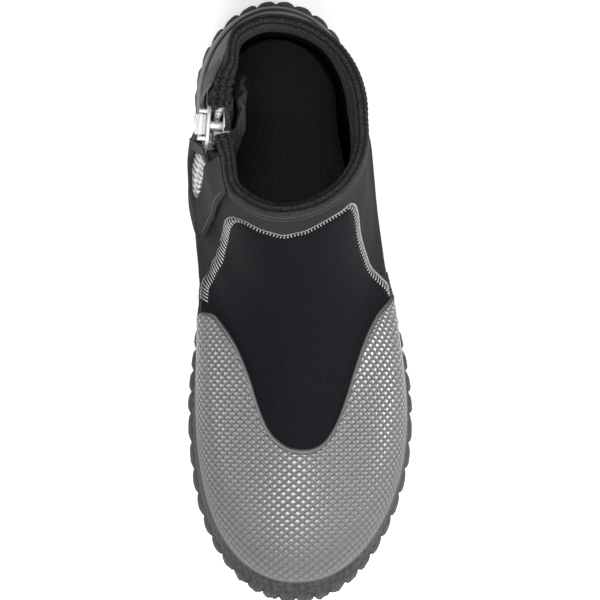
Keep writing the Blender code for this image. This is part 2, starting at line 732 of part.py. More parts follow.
def build_pull(slider, finish):
    """Pull tab: an eye round the bail's pin and a waisted tab that hangs down."""
    wide, thick, tall = PULL_SIZE
    ring = []
    for k in range(12):
        turn = 2.0 * math.pi * k / 12
        ring.append((math.cos(turn), math.sin(turn)))
    ring = np.array(ring)
    eye_out = PULL_PIN * 1.25 + 1.1
    eye_in = PULL_PIN * 1.25
    verts = []
    for x in (-0.5 * wide, 0.5 * wide):
        for radius in (eye_in, eye_out):
            verts += [(x, radius * c, radius * s) for c, s in ring]
    faces = []
    for k in range(12):
        n = (k + 1) % 12
        faces.append((12 + k, 12 + n, 36 + n, 36 + k))
        faces.append((n, k, 24 + k, 24 + n))
        faces.append((k, n, 12 + n, 12 + k))
        faces.append((24 + n, 24 + k, 36 + k, 36 + n))
    tab = box((wide, thick, tall - eye_in - 0.3), (0.0, 0.4, -0.5 * (tall + eye_in + 0.3)), taper=0.8)
    pull = fuse("zip_pull", [(np.array(verts), faces), tab], finish)
    pull.matrix_world = slider.matrix_world @ Matrix.Translation(Vector((0.0, pin_out(), pin_height())) * MM)
    for union in pull.modifiers:
        union.object.matrix_world = pull.matrix_world
    return pull


def main():
    """Builds every piece."""
    for old in list(bpy.data.objects):
        bpy.data.objects.remove(old)
    neoprene = material("neoprene", (0.045, 0.045, 0.048), 0.75)
    grey = material("grey_rubber", (0.33, 0.33, 0.32), 0.5)
    black_rubber = material("sole_rubber", (0.06, 0.063, 0.06), 0.6)
    foam = material("footbed_foam", (0.02, 0.02, 0.022), 0.9)
    tape = material("binding_tape", (0.03, 0.027, 0.03), 0.8)
    zip_fabric = material("zip_fabric", (0.05, 0.045, 0.05), 0.8)
    plastic = material("zip_plastic", (0.7, 0.72, 0.72), 0.35)
    laps, heights = surface_grid()
    build_outsole(black_rubber)
    build_insole(foam)
    build_upper(laps, heights, neoprene)
    medial_seam = ZIP_COLUMN + 2 + COLUMNS
    lateral_seam = 13
    build_rubber("toe_cap", range(medial_seam - COLUMNS, COLUMNS + lateral_seam + 1), laps, heights, grey)
    build_rubber("heel_counter", range(lateral_seam, medial_seam - COLUMNS + 1), laps, heights, grey)
    build_binding(laps, tape)
    build_tapes(zip_fabric)
    build_teeth(plastic)
    build_plackets(zip_fabric)
    build_gusset(zip_fabric)
    build_keeper(tape)
    slider = build_slider(plastic)
    build_pull(slider, plastic)


main()
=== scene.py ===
"""Looks of the left diving boot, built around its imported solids.

Sizes are in millimetres and become metres where a mesh is made. +Z is up, the toe points along -Y, and the
zip is on the inner side, which faces -X.
"""
import logging
import math
from dataclasses import dataclass
from enum import Enum

import bpy
import numpy as np
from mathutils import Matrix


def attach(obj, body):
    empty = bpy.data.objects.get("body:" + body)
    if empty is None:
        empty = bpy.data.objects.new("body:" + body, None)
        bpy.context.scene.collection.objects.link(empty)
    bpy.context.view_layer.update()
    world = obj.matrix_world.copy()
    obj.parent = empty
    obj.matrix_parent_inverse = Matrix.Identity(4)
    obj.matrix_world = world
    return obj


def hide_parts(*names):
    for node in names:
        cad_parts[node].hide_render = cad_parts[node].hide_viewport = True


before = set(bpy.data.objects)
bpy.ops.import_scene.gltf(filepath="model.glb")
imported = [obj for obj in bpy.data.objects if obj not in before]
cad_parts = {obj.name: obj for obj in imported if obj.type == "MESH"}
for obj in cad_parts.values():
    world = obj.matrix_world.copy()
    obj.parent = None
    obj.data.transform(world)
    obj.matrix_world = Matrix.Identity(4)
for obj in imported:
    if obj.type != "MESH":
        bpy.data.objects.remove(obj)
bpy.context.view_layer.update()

Array = np.ndarray
Material = bpy.types.Material
Piece = bpy.types.Object
Pair = tuple[float, float]
Triple = tuple[float, float, float]
Colour = Triple
Table = tuple[Pair, ...]
MM = 0.001
GAP = 0.35
QUARTER = 0.5 * math.pi
ROUND = 2.0 * math.pi
LOG = logging.getLogger("diving_boot")


class Body(Enum):
    """Bodies that a piece can ride on."""

    BOOT = "boot"
    PULL = "pull_tab"


class Slot(Enum):
    """Material slots of the record."""

    NEOPRENE = "neoprene"
    GREY_RUBBER = "grey_rubber"
    SOLE_RUBBER = "sole_rubber"
    FOAM = "footbed_foam"
    TAPE = "binding_tape"
    ZIP_FABRIC = "zip_fabric"
    PLASTIC = "zip_plastic"


class Side(Enum):
    """Sides of the foot, with the sign of x."""

    OUTER = 1.0
    INNER = -1.0


# Number helpers


def smooth(share: Array | float) -> Array:
    """Smooth step from 0 to 1: 3 s squared less 2 s cubed."""
    share = np.clip(share, 0.0, 1.0)
    return share * share * (3.0 - 2.0 * share)


def bell(distance: Array | float, width: float) -> Array:
    """Bell curve of height 1: e to the minus square of distance over width."""
    return np.exp(-((distance / width) ** 2))


def unit(vectors: Array) -> Array:
    """Vectors scaled to length 1."""
    return vectors / np.maximum(np.linalg.norm(vectors, axis=-1, keepdims=True), 1e-9)


def soft_box(value: Array | float, low: float, high: float, edge: float) -> Array:
    """1 between low and high and 0 outside, with smooth flanks of the given width inside the limits."""
    return smooth((value - low) / edge) * smooth((high - value) / edge)


def natural_slopes(rows: Array) -> Array:
    """Second derivatives of the natural cubic through rows at unit knots.

    Args:
        rows: One row of values per knot.

    Returns:
        One row of second derivatives per knot.
    """
    count = len(rows)
    system = np.eye(count)
    inner = np.arange(1, count - 1)
    system[inner, inner - 1] = 1.0
    system[inner, inner] = 4.0
    system[inner, inner + 1] = 1.0
    right = np.zeros_like(rows)
    right[inner] = 6.0 * (rows[2:] - 2.0 * rows[1:-1] + rows[:-2])
    return np.linalg.solve(system, right)


def natural_spline(rows: Array, slopes: Array, at: Array) -> Array:
    """Natural cubic at knot positions.

    Args:
        rows: Values at the knots.
        slopes: Second derivatives at the knots.
        at: Knot positions, whole numbers at the knots.

    Returns:
        The values, with the columns of rows first.
    """
    low = np.clip(np.floor(at).astype(int), 0, len(rows) - 2)
    near = (at - low)[..., None]
    far = 1.0 - near
    bend = (near**3 - near) * slopes[low + 1] + (far**3 - far) * slopes[low]
    return np.moveaxis(far * rows[low] + near * rows[low + 1] + bend / 6.0, -1, 0)


def curve(knots: Array, count: int) -> Array:
    """Natural cubic through rows of knots, at a count of evenly spaced knot positions."""
    at = np.linspace(0.0, len(knots) - 1.0, count)
    return np.moveaxis(natural_spline(knots, natural_slopes(knots), at), 0, -1)


def nearest(points: Array, line: Array) -> tuple[Array, Array]:
    """Distance from points to a line of points.

    Args:
        points: Any array of points.
        line: The line's points.

    Returns:
        The distance of each point, and the number of the line's point that is nearest.
    """
    flat = points.reshape(-1, 3)
    square = (flat**2).sum(1)[:, None] + (line**2).sum(1) - 2.0 * flat @ line.T
    number = square.argmin(1)
    distance = np.sqrt(np.maximum(square[np.arange(len(flat)), number], 0.0))
    return distance.reshape(points.shape[:-1]), number.reshape(points.shape[:-1])


def run_length(points: Array, axis: int = 0) -> Array:
    """Length along one axis of an array of points, from 0 at the first."""
    step = np.diff(points, axis=axis, prepend=np.take(points, [0], axis))
    return np.linalg.norm(step, axis=-1).cumsum(axis)


def read(table: Table, at: Array) -> Array:
    """Second column of a table, straight between its rows, where the first column is at."""
    return np.interp(at, *np.array(table).T)


def squared_round(turn: Array, power: float) -> Array:
    """Cosine and sine of a turn, raised to a power with their signs kept: a circle made squarer."""
    spot = np.stack([np.cos(turn), np.sin(turn)], -1)
    return np.sign(spot) * np.abs(spot) ** power


# Mesh helpers


def link(name: str, data: bpy.types.ID) -> Piece:
    """Makes an object and puts it in the scene.

    Args:
        name: The object's name.
        data: Its mesh, lamp or camera.

    Returns:
        The object.
    """
    made = bpy.data.objects.new(name, data)
    bpy.context.scene.collection.objects.link(made)
    return made


class Solid:
    """Gathers blocks of points and faces, in millimetres, for one mesh."""

    def __init__(self) -> None:
        """Starts empty."""
        self.count = 0
        self.points: list[Array] = []
        self.faces: list[tuple[Array, int]] = []
        self.fields: dict[str, list[tuple[int, Array]]] = {}

    def block(self, points: Array, fields: dict[str, Array]) -> Array:
        """Adds points.

        Args:
            points: Array of points of any shape.
            fields: Values at the points, by attribute name.

        Returns:
            The points' numbers, in the shape of the block.
        """
        shape = points.shape[:-1]
        index = self.count + np.arange(int(np.prod(shape))).reshape(shape)
        self.points.append(points.reshape(-1, 3))
        for key, values in fields.items():
            self.fields.setdefault(key, []).append((self.count, np.broadcast_to(values, shape).reshape(-1)))
        self.count += index.size
        return index

    def skin(self, faces: Array, slot: int = 0) -> None:
        """Adds faces of one kind, given as an array of point numbers."""
        self.faces.append((faces.reshape(-1, faces.shape[-1]), slot))

    def grid(self, points: Array, wrap: bool = False, flip: bool = False, keep: Array | None = None,
             slot: int = 0, **fields: Array) -> Array:
        """Adds a grid of points with a quad in each cell.

        Args:
            points: Rows by columns of points.
            wrap: Joins the last column to the first.
            flip: Turns the faces round.
            keep: Cells that get a face.
            slot: Number of the finish.
            fields: Values at the points.

        Returns:
            The points' numbers.
        """
        index = self.block(points, fields)
        now, after = (index, np.roll(index, -1, 1)) if wrap else (index[:, :-1], index[:, 1:])
        quads = np.stack([now[:-1], after[:-1], after[1:], now[1:]], -1)
        quads = quads.reshape(-1, 4) if keep is None else quads[keep]
        self.skin(quads[:, ::-1] if flip else quads, slot)
        return index

    def shell(self, outer: Array, inner: Array, wrap: bool = False, keep: Array | None = None,
              slots: tuple[int, int] = (0, 0), **fields: Array) -> None:
        """Adds a closed solid between two grids, walled along every edge of the kept cells.

        Args:
            outer: Rows by columns of points of the outer face.
            inner: The same for the inner face.
            wrap: Joins the last column to the first.
            keep: Cells that are there.
            slots: Finish of the outer face and walls, and of the inner face.
            fields: Values at the points, the same on both faces.
        """
        top = self.grid(outer, wrap, keep=keep, slot=slots[0], **fields)
        back = self.grid(inner, wrap, flip=True, keep=keep, slot=slots[1], **fields)
        columns = top.shape[1]
        cells = np.ones((len(top) - 1, columns if wrap else columns - 1), bool) if keep is None else keep
        pad = np.pad(cells, 1)
        if wrap:
            pad[1:-1, 0], pad[1:-1, -1] = cells[:, -1], cells[:, 0]
        edges = (
            (pad[:-2, 1:-1], (0, 0), (0, 1)),
            (pad[1:-1, 2:], (0, 1), (1, 1)),
            (pad[2:, 1:-1], (1, 1), (1, 0)),
            (pad[1:-1, :-2], (1, 0), (0, 0)),
        )
        for beside, start, end in edges:
            i, j = np.nonzero(cells & ~beside)
            a = (i + start[0], (j + start[1]) % columns)
            b = (i + end[0], (j + end[1]) % columns)
            self.skin(np.stack([top[b], top[a], back[a], back[b]], -1), slots[0])

    def bridge(self, ring: Array, turn: int) -> None:
        """Closes a ring across its middle line, with quads between its two halves and a triangle at each end.

        Args:
            ring: Its points' numbers, an even count that starts at one end of the middle line.
            turn: 1 or -1, the way round of the faces.
        """
        count = len(ring)
        tip = count // 2
        half = np.arange(1, tip - 1)
        quads = np.stack([ring[half], ring[half + 1], ring[count - half - 1], ring[count - half]], -1)
        self.skin(quads[:, ::turn])
        ends = np.array([[ring[0], ring[1], ring[-1]], [ring[tip], ring[tip + 1], ring[tip - 1]]])
        self.skin(ends[:, ::turn])

    def lofts(self, sections: Array, **fields: Array) -> None:
        """Adds many capped solids through closed sections that run anticlockwise about their way.

        Args:
            sections: Solids by sections by points, by three.
            fields: Values at the points.
        """
        index = self.block(sections, fields)
        after = np.roll(index, -1, -1)
        self.skin(np.stack([index[:, :-1], after[:, :-1], after[:, 1:], index[:, 1:]], -1))
        self.skin(index[:, 0, ::-1])
        self.skin(index[:, -1])

    def tubes(self, paths: Array, normals: Array, radius: Array | float, sides: int, **fields: Array) -> None:
        """Adds round threads: a ring is its centre plus radius times the turned normal and cross direction.

        Args:
            paths: Threads by points, by three.
            normals: Direction away from the cloth at each point.
            radius: Thread's radius, one for all or one per point.
            sides: Points of a ring.
            fields: Values at the paths' points.
        """
        tangent = unit(np.gradient(paths, axis=-2))
        across = unit(np.cross(tangent, normals))
        up = np.cross(across, tangent)
        turn = ROUND * np.arange(sides)[:, None] / sides
        ring = np.cos(turn) * up[..., None, :] + np.sin(turn) * across[..., None, :]
        size = np.broadcast_to(radius, paths.shape[:-1])[..., None, None]
        spread = {key: np.broadcast_to(value, paths.shape[:-1])[..., None] for key, value in fields.items()}
        self.lofts(paths[..., None, :] + size * ring, **spread)

    def build(self, name: str, crease: float | None = None) -> Piece:
        """Makes the object, smooth shaded.

        Args:
            name: The object's name.
            crease: Angle in degrees over which an edge stays sharp.

        Returns:
            The object, with its place in its mesh.
        """
        points = np.concatenate(self.points) * MM
        used = np.zeros(len(points), bool)
        for faces, _ in self.faces:
            used[faces.ravel()] = True
        number = np.cumsum(used) - 1
        faces = [face for block, _ in self.faces for face in number[block].tolist()]
        mesh = bpy.data.meshes.new(name)
        mesh.from_pydata(points[used].tolist(), [], faces)
        slots = np.concatenate([np.full(len(block), slot) for block, slot in self.faces])
        mesh.polygons.foreach_set("material_index", slots.astype(np.int32))
        mesh.polygons.foreach_set("use_smooth", np.ones(len(slots), bool))
        for key, blocks in self.fields.items():
            values = np.zeros(len(points), np.float32)
            for start, part in blocks:
                values[start:start + len(part)] = part
            mesh.attributes.new(key, "FLOAT", "POINT").data.foreach_set("value", values[used])
        if crease is not None:
            mesh.set_sharp_from_angle(angle=math.radians(crease))
        mesh.update()
        return link(name, mesh)


def fit(made: Piece, finishes: list[Material], nodes: tuple[str, ...] = (),
        body: Body = Body.BOOT) -> None:
    """Dresses a finished piece and ties it to its body and the nodes that it stands for.

    Args:
        made: The piece.
        finishes: Materials, by finish number.
        nodes: Nodes that the piece replaces.
        body: Body that it rides on.
    """
    for finish in finishes:
        made.data.materials.append(finish)
    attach(made, body.value)
    if nodes:
        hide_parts(*nodes)
    LOG.info("%s: %d faces on %s", made.name, len(made.data.polygons), body.value)


# Form of the foot


@dataclass
class Last:
    """Form that every piece is laid on: rings from the sole's feather line to the collar.

    A ring's columns are: height at the toe and at the heel as shares of the collar height, power of the rise
    between them, y of toe, ball, seat and heel as shares of the length, inner and outer half width as shares
    of the ball width, waist and seat as shares of the half width, and the power of the toe's point. A bend is
    the station where it starts and the length of its run.
    """

    length: float = 298.3
    ball_width: float = 111.4
    collar_height: float = 150.0
    heel_shift: float = -12.0
    toe_shift: float = -1.8
    side_offset: float = -0.17
    heel_bend: Pair = (-60.0, 160.0)
    toe_bend: Pair = (-70.0, 60.0)
    waist_at: Pair = (0.62, 0.50)
    outer_fill: float = 0.15
    quarter_arc: float = 1.57
    nudge: float = 0.002
    halvings: int = 40
    edge_blur: float = 0.02
    sole_edge: tuple[float, ...] = (0.0, 0.0, 1.0, -0.5, -0.193, 0.332, 0.5, 0.497, 0.501, 0.8, 0.723, 0.94)
    table: tuple[tuple[float, ...], ...] = (
        (0.133, 0.087, 5.0, -0.449, -0.191, 0.325, 0.456, 0.413, 0.426, 0.84, 0.74, 0.94),
        (0.220, 0.227, 3.0, -0.458, -0.191, 0.325, 0.470, 0.435, 0.452, 0.85, 0.74, 0.94),
        (0.300, 0.333, 2.0, -0.439, -0.160, 0.322, 0.468, 0.428, 0.444, 0.87, 0.75, 0.96),
        (0.373, 0.427, 1.3, -0.375, -0.060, 0.315, 0.461, 0.397, 0.424, 0.92, 0.77, 1.04),
        (0.440, 0.513, 1.0, -0.255, 0.134, 0.308, 0.450, 0.370, 0.402, 1.00, 0.82, 1.22),
        (0.530, 0.593, 1.0, -0.127, 0.170, 0.302, 0.438, 0.348, 0.384, 1.00, 0.84, 1.28),
        (0.640, 0.680, 1.0, -0.020, 0.195, 0.295, 0.427, 0.300, 0.373, 1.00, 0.88, 1.16),
        (0.787, 0.787, 1.0, 0.062, 0.215, 0.288, 0.418, 0.276, 0.363, 1.00, 0.95, 1.04),
        (0.900, 0.907, 1.0, 0.108, 0.235, 0.282, 0.412, 0.268, 0.357, 1.00, 1.00, 1.00),
        (1.000, 1.013, 1.0, 0.127, 0.248, 0.275, 0.408, 0.265, 0.353, 1.00, 1.00, 1.00),
    )
    rubber_table: Table = (
        (0.00, 0.463), (0.07, 0.445), (0.14, 0.477), (0.18, 0.455), (0.21, 0.410), (0.26, 0.260),
        (0.31, 0.150), (0.37, 0.140), (0.44, 0.280), (0.50, 0.345), (0.56, 0.375), (0.60, 0.390),
        (0.66, 0.390), (0.70, 0.300), (0.735, 0.150), (0.755, 0.150), (0.79, 0.410), (0.83, 0.465),
        (0.865, 0.485), (0.91, 0.445), (1.0, 0.463),
    )

    def __post_init__(self) -> None:
        """Works out the rings in millimetres and their spline."""
        self.rows = np.array([self.scaled(ring) for ring in self.table])
        self.slopes = natural_slopes(self.rows)

    def scaled(self, ring: tuple[float, ...]) -> Array:
        """Brings a ring from shares to millimetres.

        Args:
            ring: Row of the table.

        Returns:
            Its columns.
        """
        heights = [share * self.collar_height for share in ring[:2]]
        stations = [share * self.length for share in ring[3:7]]
        halves = [share * self.ball_width for share in ring[7:9]]
        return np.array(heights + [ring[2]] + stations + halves + list(ring[9:]))

    def ring(self, t: Array) -> Array:
        """Columns of the ring at height share t, from the spline through the rings."""
        return natural_spline(self.rows, self.slopes, np.asarray(t, float) * (len(self.rows) - 1))

    def centreline(self, y: Array) -> Array:
        """Sideways bend of the foot's middle line.

        Args:
            y: Stations.

        Returns:
            Distances to the side.
        """
        heel = self.heel_shift * smooth((y - self.heel_bend[0]) / self.heel_bend[1])
        toe = self.toe_shift * smooth((self.toe_bend[0] - y) / self.toe_bend[1])
        return heel + toe + self.side_offset

    def runs(self, ring: Array, width: Array) -> tuple[Array, Array]:
        """Ends of a ring's straight side; a quarter's length follows the root mean square of its axes.

        Args:
            ring: Columns of the ring.
            width: Its half width on the side that is wanted.

        Returns:
            Shares of half the ring at which its toe quarter ends and its heel quarter begins.
        """
        toe = self.quarter_arc * np.sqrt(((ring[4] - ring[3]) ** 2 + width**2) / 2.0)
        heel = self.quarter_arc * np.sqrt(((ring[6] - ring[5]) ** 2 + (width * ring[10]) ** 2) / 2.0)
        total = toe + heel + ring[5] - ring[4]
        return toe / total, 1.0 - heel / total

    def outline(self, lap: Array, ring: Array) -> tuple[Array, Array]:
        """Plan point of a ring: a quarter ellipse at the toe, a waisted side, a quarter ellipse at the heel.

        Args:
            lap: Way round: 0 toe, 0.25 outer side, 0.5 heel, 0.75 inner side.
            ring: Columns of the ring.

        Returns:
            x and y.
        """
        y_toe, y_ball, y_seat, y_heel, med, lat, waist, seat, point = ring[3:12]
        lap = np.mod(lap, 1.0)
        inner = lap > 0.5
        half_lap = np.where(inner, 2.0 - 2.0 * lap, 2.0 * lap)
        width = np.where(inner, med, lat)
        start, end = self.runs(ring, width)
        toe = QUARTER * np.clip(half_lap / start, 0.0, 1.0)
        side = np.clip((half_lap - start) / (end - start), 0.0, 1.0)
        heel = QUARTER * np.clip((half_lap - end) / (1.0 - end), 0.0, 1.0)
        ahead = np.maximum(np.cos(toe), 0.0) ** point
        y = y_ball - (y_ball - y_toe) * ahead + (y_seat - y_ball) * side + (y_heel - y_seat) * np.sin(heel)
        at = np.where(inner, self.waist_at[1], self.waist_at[0])
        waist = np.where(inner, waist, waist + self.outer_fill * (1.0 - waist))
        narrow = 1.0 - (1.0 - waist) * smooth(side / at) + (seat - waist) * smooth((side - at) / (1.0 - at))
        half = width * np.sin(toe) ** point * narrow * np.cos(heel)
        return self.centreline(y) + np.where(inner, -half, half), y

    @staticmethod
    def height(y: Array, ring: Array) -> Array:
        """Height of a ring at station y."""
        share = np.clip((ring[6] - y) / (ring[6] - ring[3]), 0.0, 1.0)
        return ring[1] + (ring[0] - ring[1]) * share ** ring[2]

    def point(self, lap: Array, t: Array) -> Array:
        """Outer face of the upper.

        Args:
            lap: Ways round.
            t: Height shares.

        Returns:
            Points.
        """
        ring = self.ring(t)
        x, y = self.outline(lap, ring)
        return np.stack([x, y, self.height(y, ring)], -1)

    def normal(self, lap: Array, t: Array) -> Array:
        """Outward direction of the upper's outer face: cross product of its differences round and up.

        Args:
            lap: Ways round.
            t: Height shares.

        Returns:
            Directions of length 1.
        """
        round_way = self.point(lap + self.nudge, t) - self.point(lap - self.nudge, t)
        above, below = np.clip(t + self.nudge, 0.0, 1.0), np.clip(t - self.nudge, 0.0, 1.0)
        return unit(np.cross(round_way, self.point(lap, above) - self.point(lap, below)))

    def offset(self, lap: Array, t: Array, depth: Array | float) -> Array:
        """Point that lies depth outside the upper's outer face."""
        lap, t, depth = np.broadcast_arrays(lap, t, np.asarray(depth, float))
        return self.point(lap, t) + self.normal(lap, t) * depth[..., None]

    def lap_at(self, y: Array, t: Array, side: Side) -> Array:
        """Way round at which a ring reaches a station: the outline's formula turned about.

        Args:
            y: Stations.
            t: Height shares of the rings.
            side: Side of the foot.

        Returns:
            Ways round.
        """
        ring = self.ring(t)
        start, end = self.runs(ring, ring[7] if side is Side.INNER else ring[8])
        ahead = np.clip((ring[4] - y) / (ring[4] - ring[3]), 0.0, 1.0) ** (1.0 / ring[11])
        toe = start * np.arccos(ahead) / QUARTER
        flank = start + (end - start) * (y - ring[4]) / (ring[5] - ring[4])
        turn = np.arcsin(np.clip((y - ring[5]) / (ring[6] - ring[5]), 0.0, 1.0)) / QUARTER
        half_lap = np.where(y < ring[4], toe, np.where(y < ring[5], flank, end + (1.0 - end) * turn))
        return 1.0 - 0.5 * half_lap if side is Side.INNER else 0.5 * half_lap

    def inner_side(self, y: Array, z: Array) -> tuple[Array, Array]:
        """Finds points of the inner side by halving the height share between sole and collar.

        Args:
            y: Stations.
            z: Heights.

        Returns:
            Ways round and height shares.
        """
        y, z = np.broadcast_arrays(np.asarray(y, float), np.asarray(z, float))
        low, high = np.zeros(y.shape), np.ones(y.shape)
        for _ in range(self.halvings):
            middle = 0.5 * (low + high)
            above = self.height(y, self.ring(middle)) > z
            high = np.where(above, middle, high)
            low = np.where(above, low, middle)
        return self.lap_at(y, low, Side.INNER), low

    def rubber_line(self, lap: Array) -> Array:
        """Height share of the rubber's top edge: its table averaged over a short way round."""
        reach = np.linspace(-self.edge_blur, self.edge_blur, 9)
        return np.mean([read(self.rubber_table, np.mod(lap + shift, 1.0)) for shift in reach], 0)


@dataclass
class ZipLine:
    """Line of the zip on the inner side: height, y of its heel edge and toe edge, depth of its teeth.

    The open top is drawn in from draw_from up. The gape is its foot, its head and the run of its ends.
    """

    last: Last
    foot: float = 70.0
    head: float = 148.0
    draw: float = 6.0
    draw_from: float = 122.0
    draw_run: float = 26.0
    draw_fade: Pair = (0.07, 0.08)
    gape_span: Triple = (81.0, 110.0, 7.0)
    gape_lift: Pair = (0.4, 0.9)
    swell_high: float = 1.2
    swell_run: float = 11.0
    teeth_half: float = 3.9
    widest_tape: float = 4.6
    rounds: int = 25
    table: tuple[tuple[float, float, float, float], ...] = (
        (13.0, 38.0, 20.0, 0.3), (40.0, 36.0, 22.0, 0.3), (70.0, 37.5, 24.5, 0.3), (80.0, 51.0, 37.0, 0.3),
        (90.0, 64.5, 50.0, 0.3), (100.0, 75.0, 59.5, -0.5), (109.0, 86.0, 67.5, -4.6),
        (121.0, 87.5, 67.0, -4.6), (135.0, 93.0, 63.5, -4.6), (152.0, 104.5, 62.0, -4.5),
    )

    def at(self, z: Array) -> list[Array]:
        """Heel edge, toe edge and depth at height z."""
        table = np.array(self.table)
        return [np.interp(z, table[:, 0], table[:, k]) for k in (1, 2, 3)]

    def reach(self, heel: Array, toe: Array) -> Array:
        """Distance from an edge of the opening to the root of its teeth."""
        return np.minimum(0.5 * (heel - toe) - self.teeth_half, self.widest_tape)

    def pulled(self, z: Array) -> Array:
        """Distance by which the open zip's top is drawn inwards at height z."""
        return self.draw * smooth((z - self.draw_from) / self.draw_run)

    def pull(self, lap: Array, z: Array) -> Array:
        """Distance by which the collar is drawn inwards: all of it at the zip, fading on both sides.

        Args:
            lap: Ways round.
            z: Heights.

        Returns:
            Distances.
        """
        heel, toe = self.edge_laps(np.array([1.0]))
        way = np.mod(lap, 1.0)
        before, after = self.draw_fade
        drawn = self.pulled(z) * smooth((way - heel[0] + before) / before)
        return drawn * smooth((toe[0] + after - way) / after)

    def gape(self, z: Array) -> Array:
        """Share from 0 to 1 of the gape below the slider, where the strips part and show the teeth."""
        return soft_box(z, *self.gape_span)

    def tilt(self, share: Array, z: Array) -> Array:
        """Lift of the gape: sunk a little at its toe edge (share -1), pushed out at its heel edge (1)."""
        middle, slope = self.gape_lift
        return self.gape(z) * (middle + slope * np.clip(share, -1.0, 1.0))

    def swell(self, y: Array, z: Array) -> Array:
        """Outward push of the wall behind the gape, fading towards the heel.

        Args:
            y: Stations.
            z: Heights.

        Returns:
            Distances.
        """
        behind = y - self.at(z)[0]
        fade = 1.0 - smooth(behind / self.swell_run)
        return self.swell_high * self.gape(z) * fade * smooth((behind + 2.0) / 1.5)

    def edge_laps(self, t: Array) -> tuple[Array, Array]:
        """Finds the opening's edges by repeated correction of a station by the height that it gives.

        Args:
            t: Height shares of the rings.

        Returns:
            Ways round of the heel edge and of the toe edge.
        """
        ends = []
        for edge in (0, 1):
            y = np.full(t.shape, 50.0)
            for _ in range(self.rounds):
                y = self.at(self.last.height(y, self.last.ring(t)))[edge]
            ends.append(self.last.lap_at(y, t, Side.INNER))
        return tuple(ends)

    def strip(self, y: Array, z: Array, depth: Array) -> tuple[Array, Array]:
        """Points and outward directions at stations y, heights z and a depth off the upper's face."""
        lap, t = self.last.inner_side(y, z)
        return self.last.offset(lap, t, depth), self.last.normal(lap, t)


# Shader helpers


class Value:
    """A shader value that joins in Python expressions; each operator adds a Math node."""

    def __init__(self, nodes: "Nodes", socket: bpy.types.NodeSocket) -> None:
        """Wraps a socket of a material."""
        self.nodes = nodes
        self.socket = socket

    def math(self, operation: str, *others: "Value | float") -> "Value":
        """Math node with this value first."""
        return self.nodes.maths(operation, self, *others)

    def __add__(self, other: "Value | float") -> "Value":
        """This plus other."""
        return self.math("ADD", other)

    __radd__ = __add__

    def __sub__(self, other: "Value | float") -> "Value":
        """This less other."""
        return self.math("SUBTRACT", other)

    def __rsub__(self, other: float) -> "Value":
        """Other less this."""
        return self.nodes.maths("SUBTRACT", other, self)

    def __mul__(self, other: "Value | float") -> "Value":
        """This times other."""
        return self.math("MULTIPLY", other)

    def ramp(self, low: float, high: float) -> "Value":
        """Smooth step from 0 at low to 1 at high."""
        return self.nodes.add("ShaderNodeMapRange", {"interpolation_type": "SMOOTHSTEP"},
                              {0: self, 1: low, 2: high, 3: 0.0, 4: 1.0})

    def wave(self, pitch: float) -> "Value":
        """Sine of this from 0 to 1, with the given pitch."""
        return (self * (ROUND / pitch)).math("SINE") * 0.5 + 0.5


class Nodes:
    """Nodes of one material."""

    def __init__(self, name: str) -> None:
        """Starts an empty material.

        Args:
            name: The material's name.
        """
        self.material = bpy.data.materials.new(name)
        self.material.use_nodes = True
        self.tree = self.material.node_tree
        self.tree.nodes.clear()

    def add(self, kind: str, settings: dict[str, object] | None = None,
            inputs: dict[int | str, object] | None = None, out: int | str = 0) -> Value:
        """Adds a node.

        Args:
            kind: The node's type.
            settings: Properties, set first.
            inputs: Values or links of its sockets.
            out: The output that is wanted.

        Returns:
            The output as a value.
        """
        node = self.tree.nodes.new(kind)
        for key, setting in (settings or {}).items():
            setattr(node, key, setting)
        for key, given in (inputs or {}).items():
            if isinstance(given, Value):
                self.tree.links.new(given.socket, node.inputs[key])
            else:
                node.inputs[key].default_value = given
        return Value(self, node.outputs[out])

    def maths(self, operation: str, *values: "Value | float") -> Value:
        """Math node."""
        return self.add("ShaderNodeMath", {"operation": operation}, dict(enumerate(values)))

    def field(self, name: str) -> Value:
        """Attribute of the mesh."""
        return self.add("ShaderNodeAttribute", {"attribute_name": name}, out="Fac")

    def place(self, stretch: Colour = (1.0, 1.0, 1.0)) -> Value:
        """Object coordinates, stretched."""
        spot = self.add("ShaderNodeTexCoord", out="Object")
        return self.add("ShaderNodeMapping", None, {"Vector": spot, "Scale": stretch})

    def noise(self, size: float, detail: float = 2.0, stretch: Colour = (1.0, 1.0, 1.0)) -> Value:
        """Soft noise with features of the given size in millimetres."""
        return self.add("ShaderNodeTexNoise", None,
                        {"Vector": self.place(stretch), "Scale": 1.0 / (size * MM), "Detail": detail}, "Fac")

    def cells(self, size: float) -> Value:
        """Distance within cells of the given size in millimetres."""
        return self.add("ShaderNodeTexVoronoi", {"feature": "F1"},
                        {"Vector": self.place(), "Scale": 1.0 / (size * MM)}, "Distance")

    def mix(self, share: Value | float, first: Value | Colour, second: Value | Colour) -> Value:
        """Colour between two, by share."""
        ends = [(*end, 1.0) if isinstance(end, tuple) else end for end in (first, second)]
        return self.add("ShaderNodeMix", {"data_type": "RGBA"}, {0: share, 6: ends[0], 7: ends[1]}, 2)

    def bump(self, height: Value, depth: float) -> Value:
        """Normal bent by a height from 0 to 1 that stands for depth in millimetres."""
        return self.add("ShaderNodeBump", None, {"Height": height, "Distance": depth * MM, "Strength": 1.0})

    def finish(self, inputs: dict[int | str, object]) -> Material:
        """Closes the material with a Principled shader.

        Args:
            inputs: Values or links of its sockets.

        Returns:
            The material.
        """
        shader = self.add("ShaderNodeBsdfPrincipled", None, inputs)
        surface = self.tree.nodes.new("ShaderNodeOutputMaterial")
        self.tree.links.new(shader.socket, surface.inputs["Surface"])
        return self.material


# Finishes


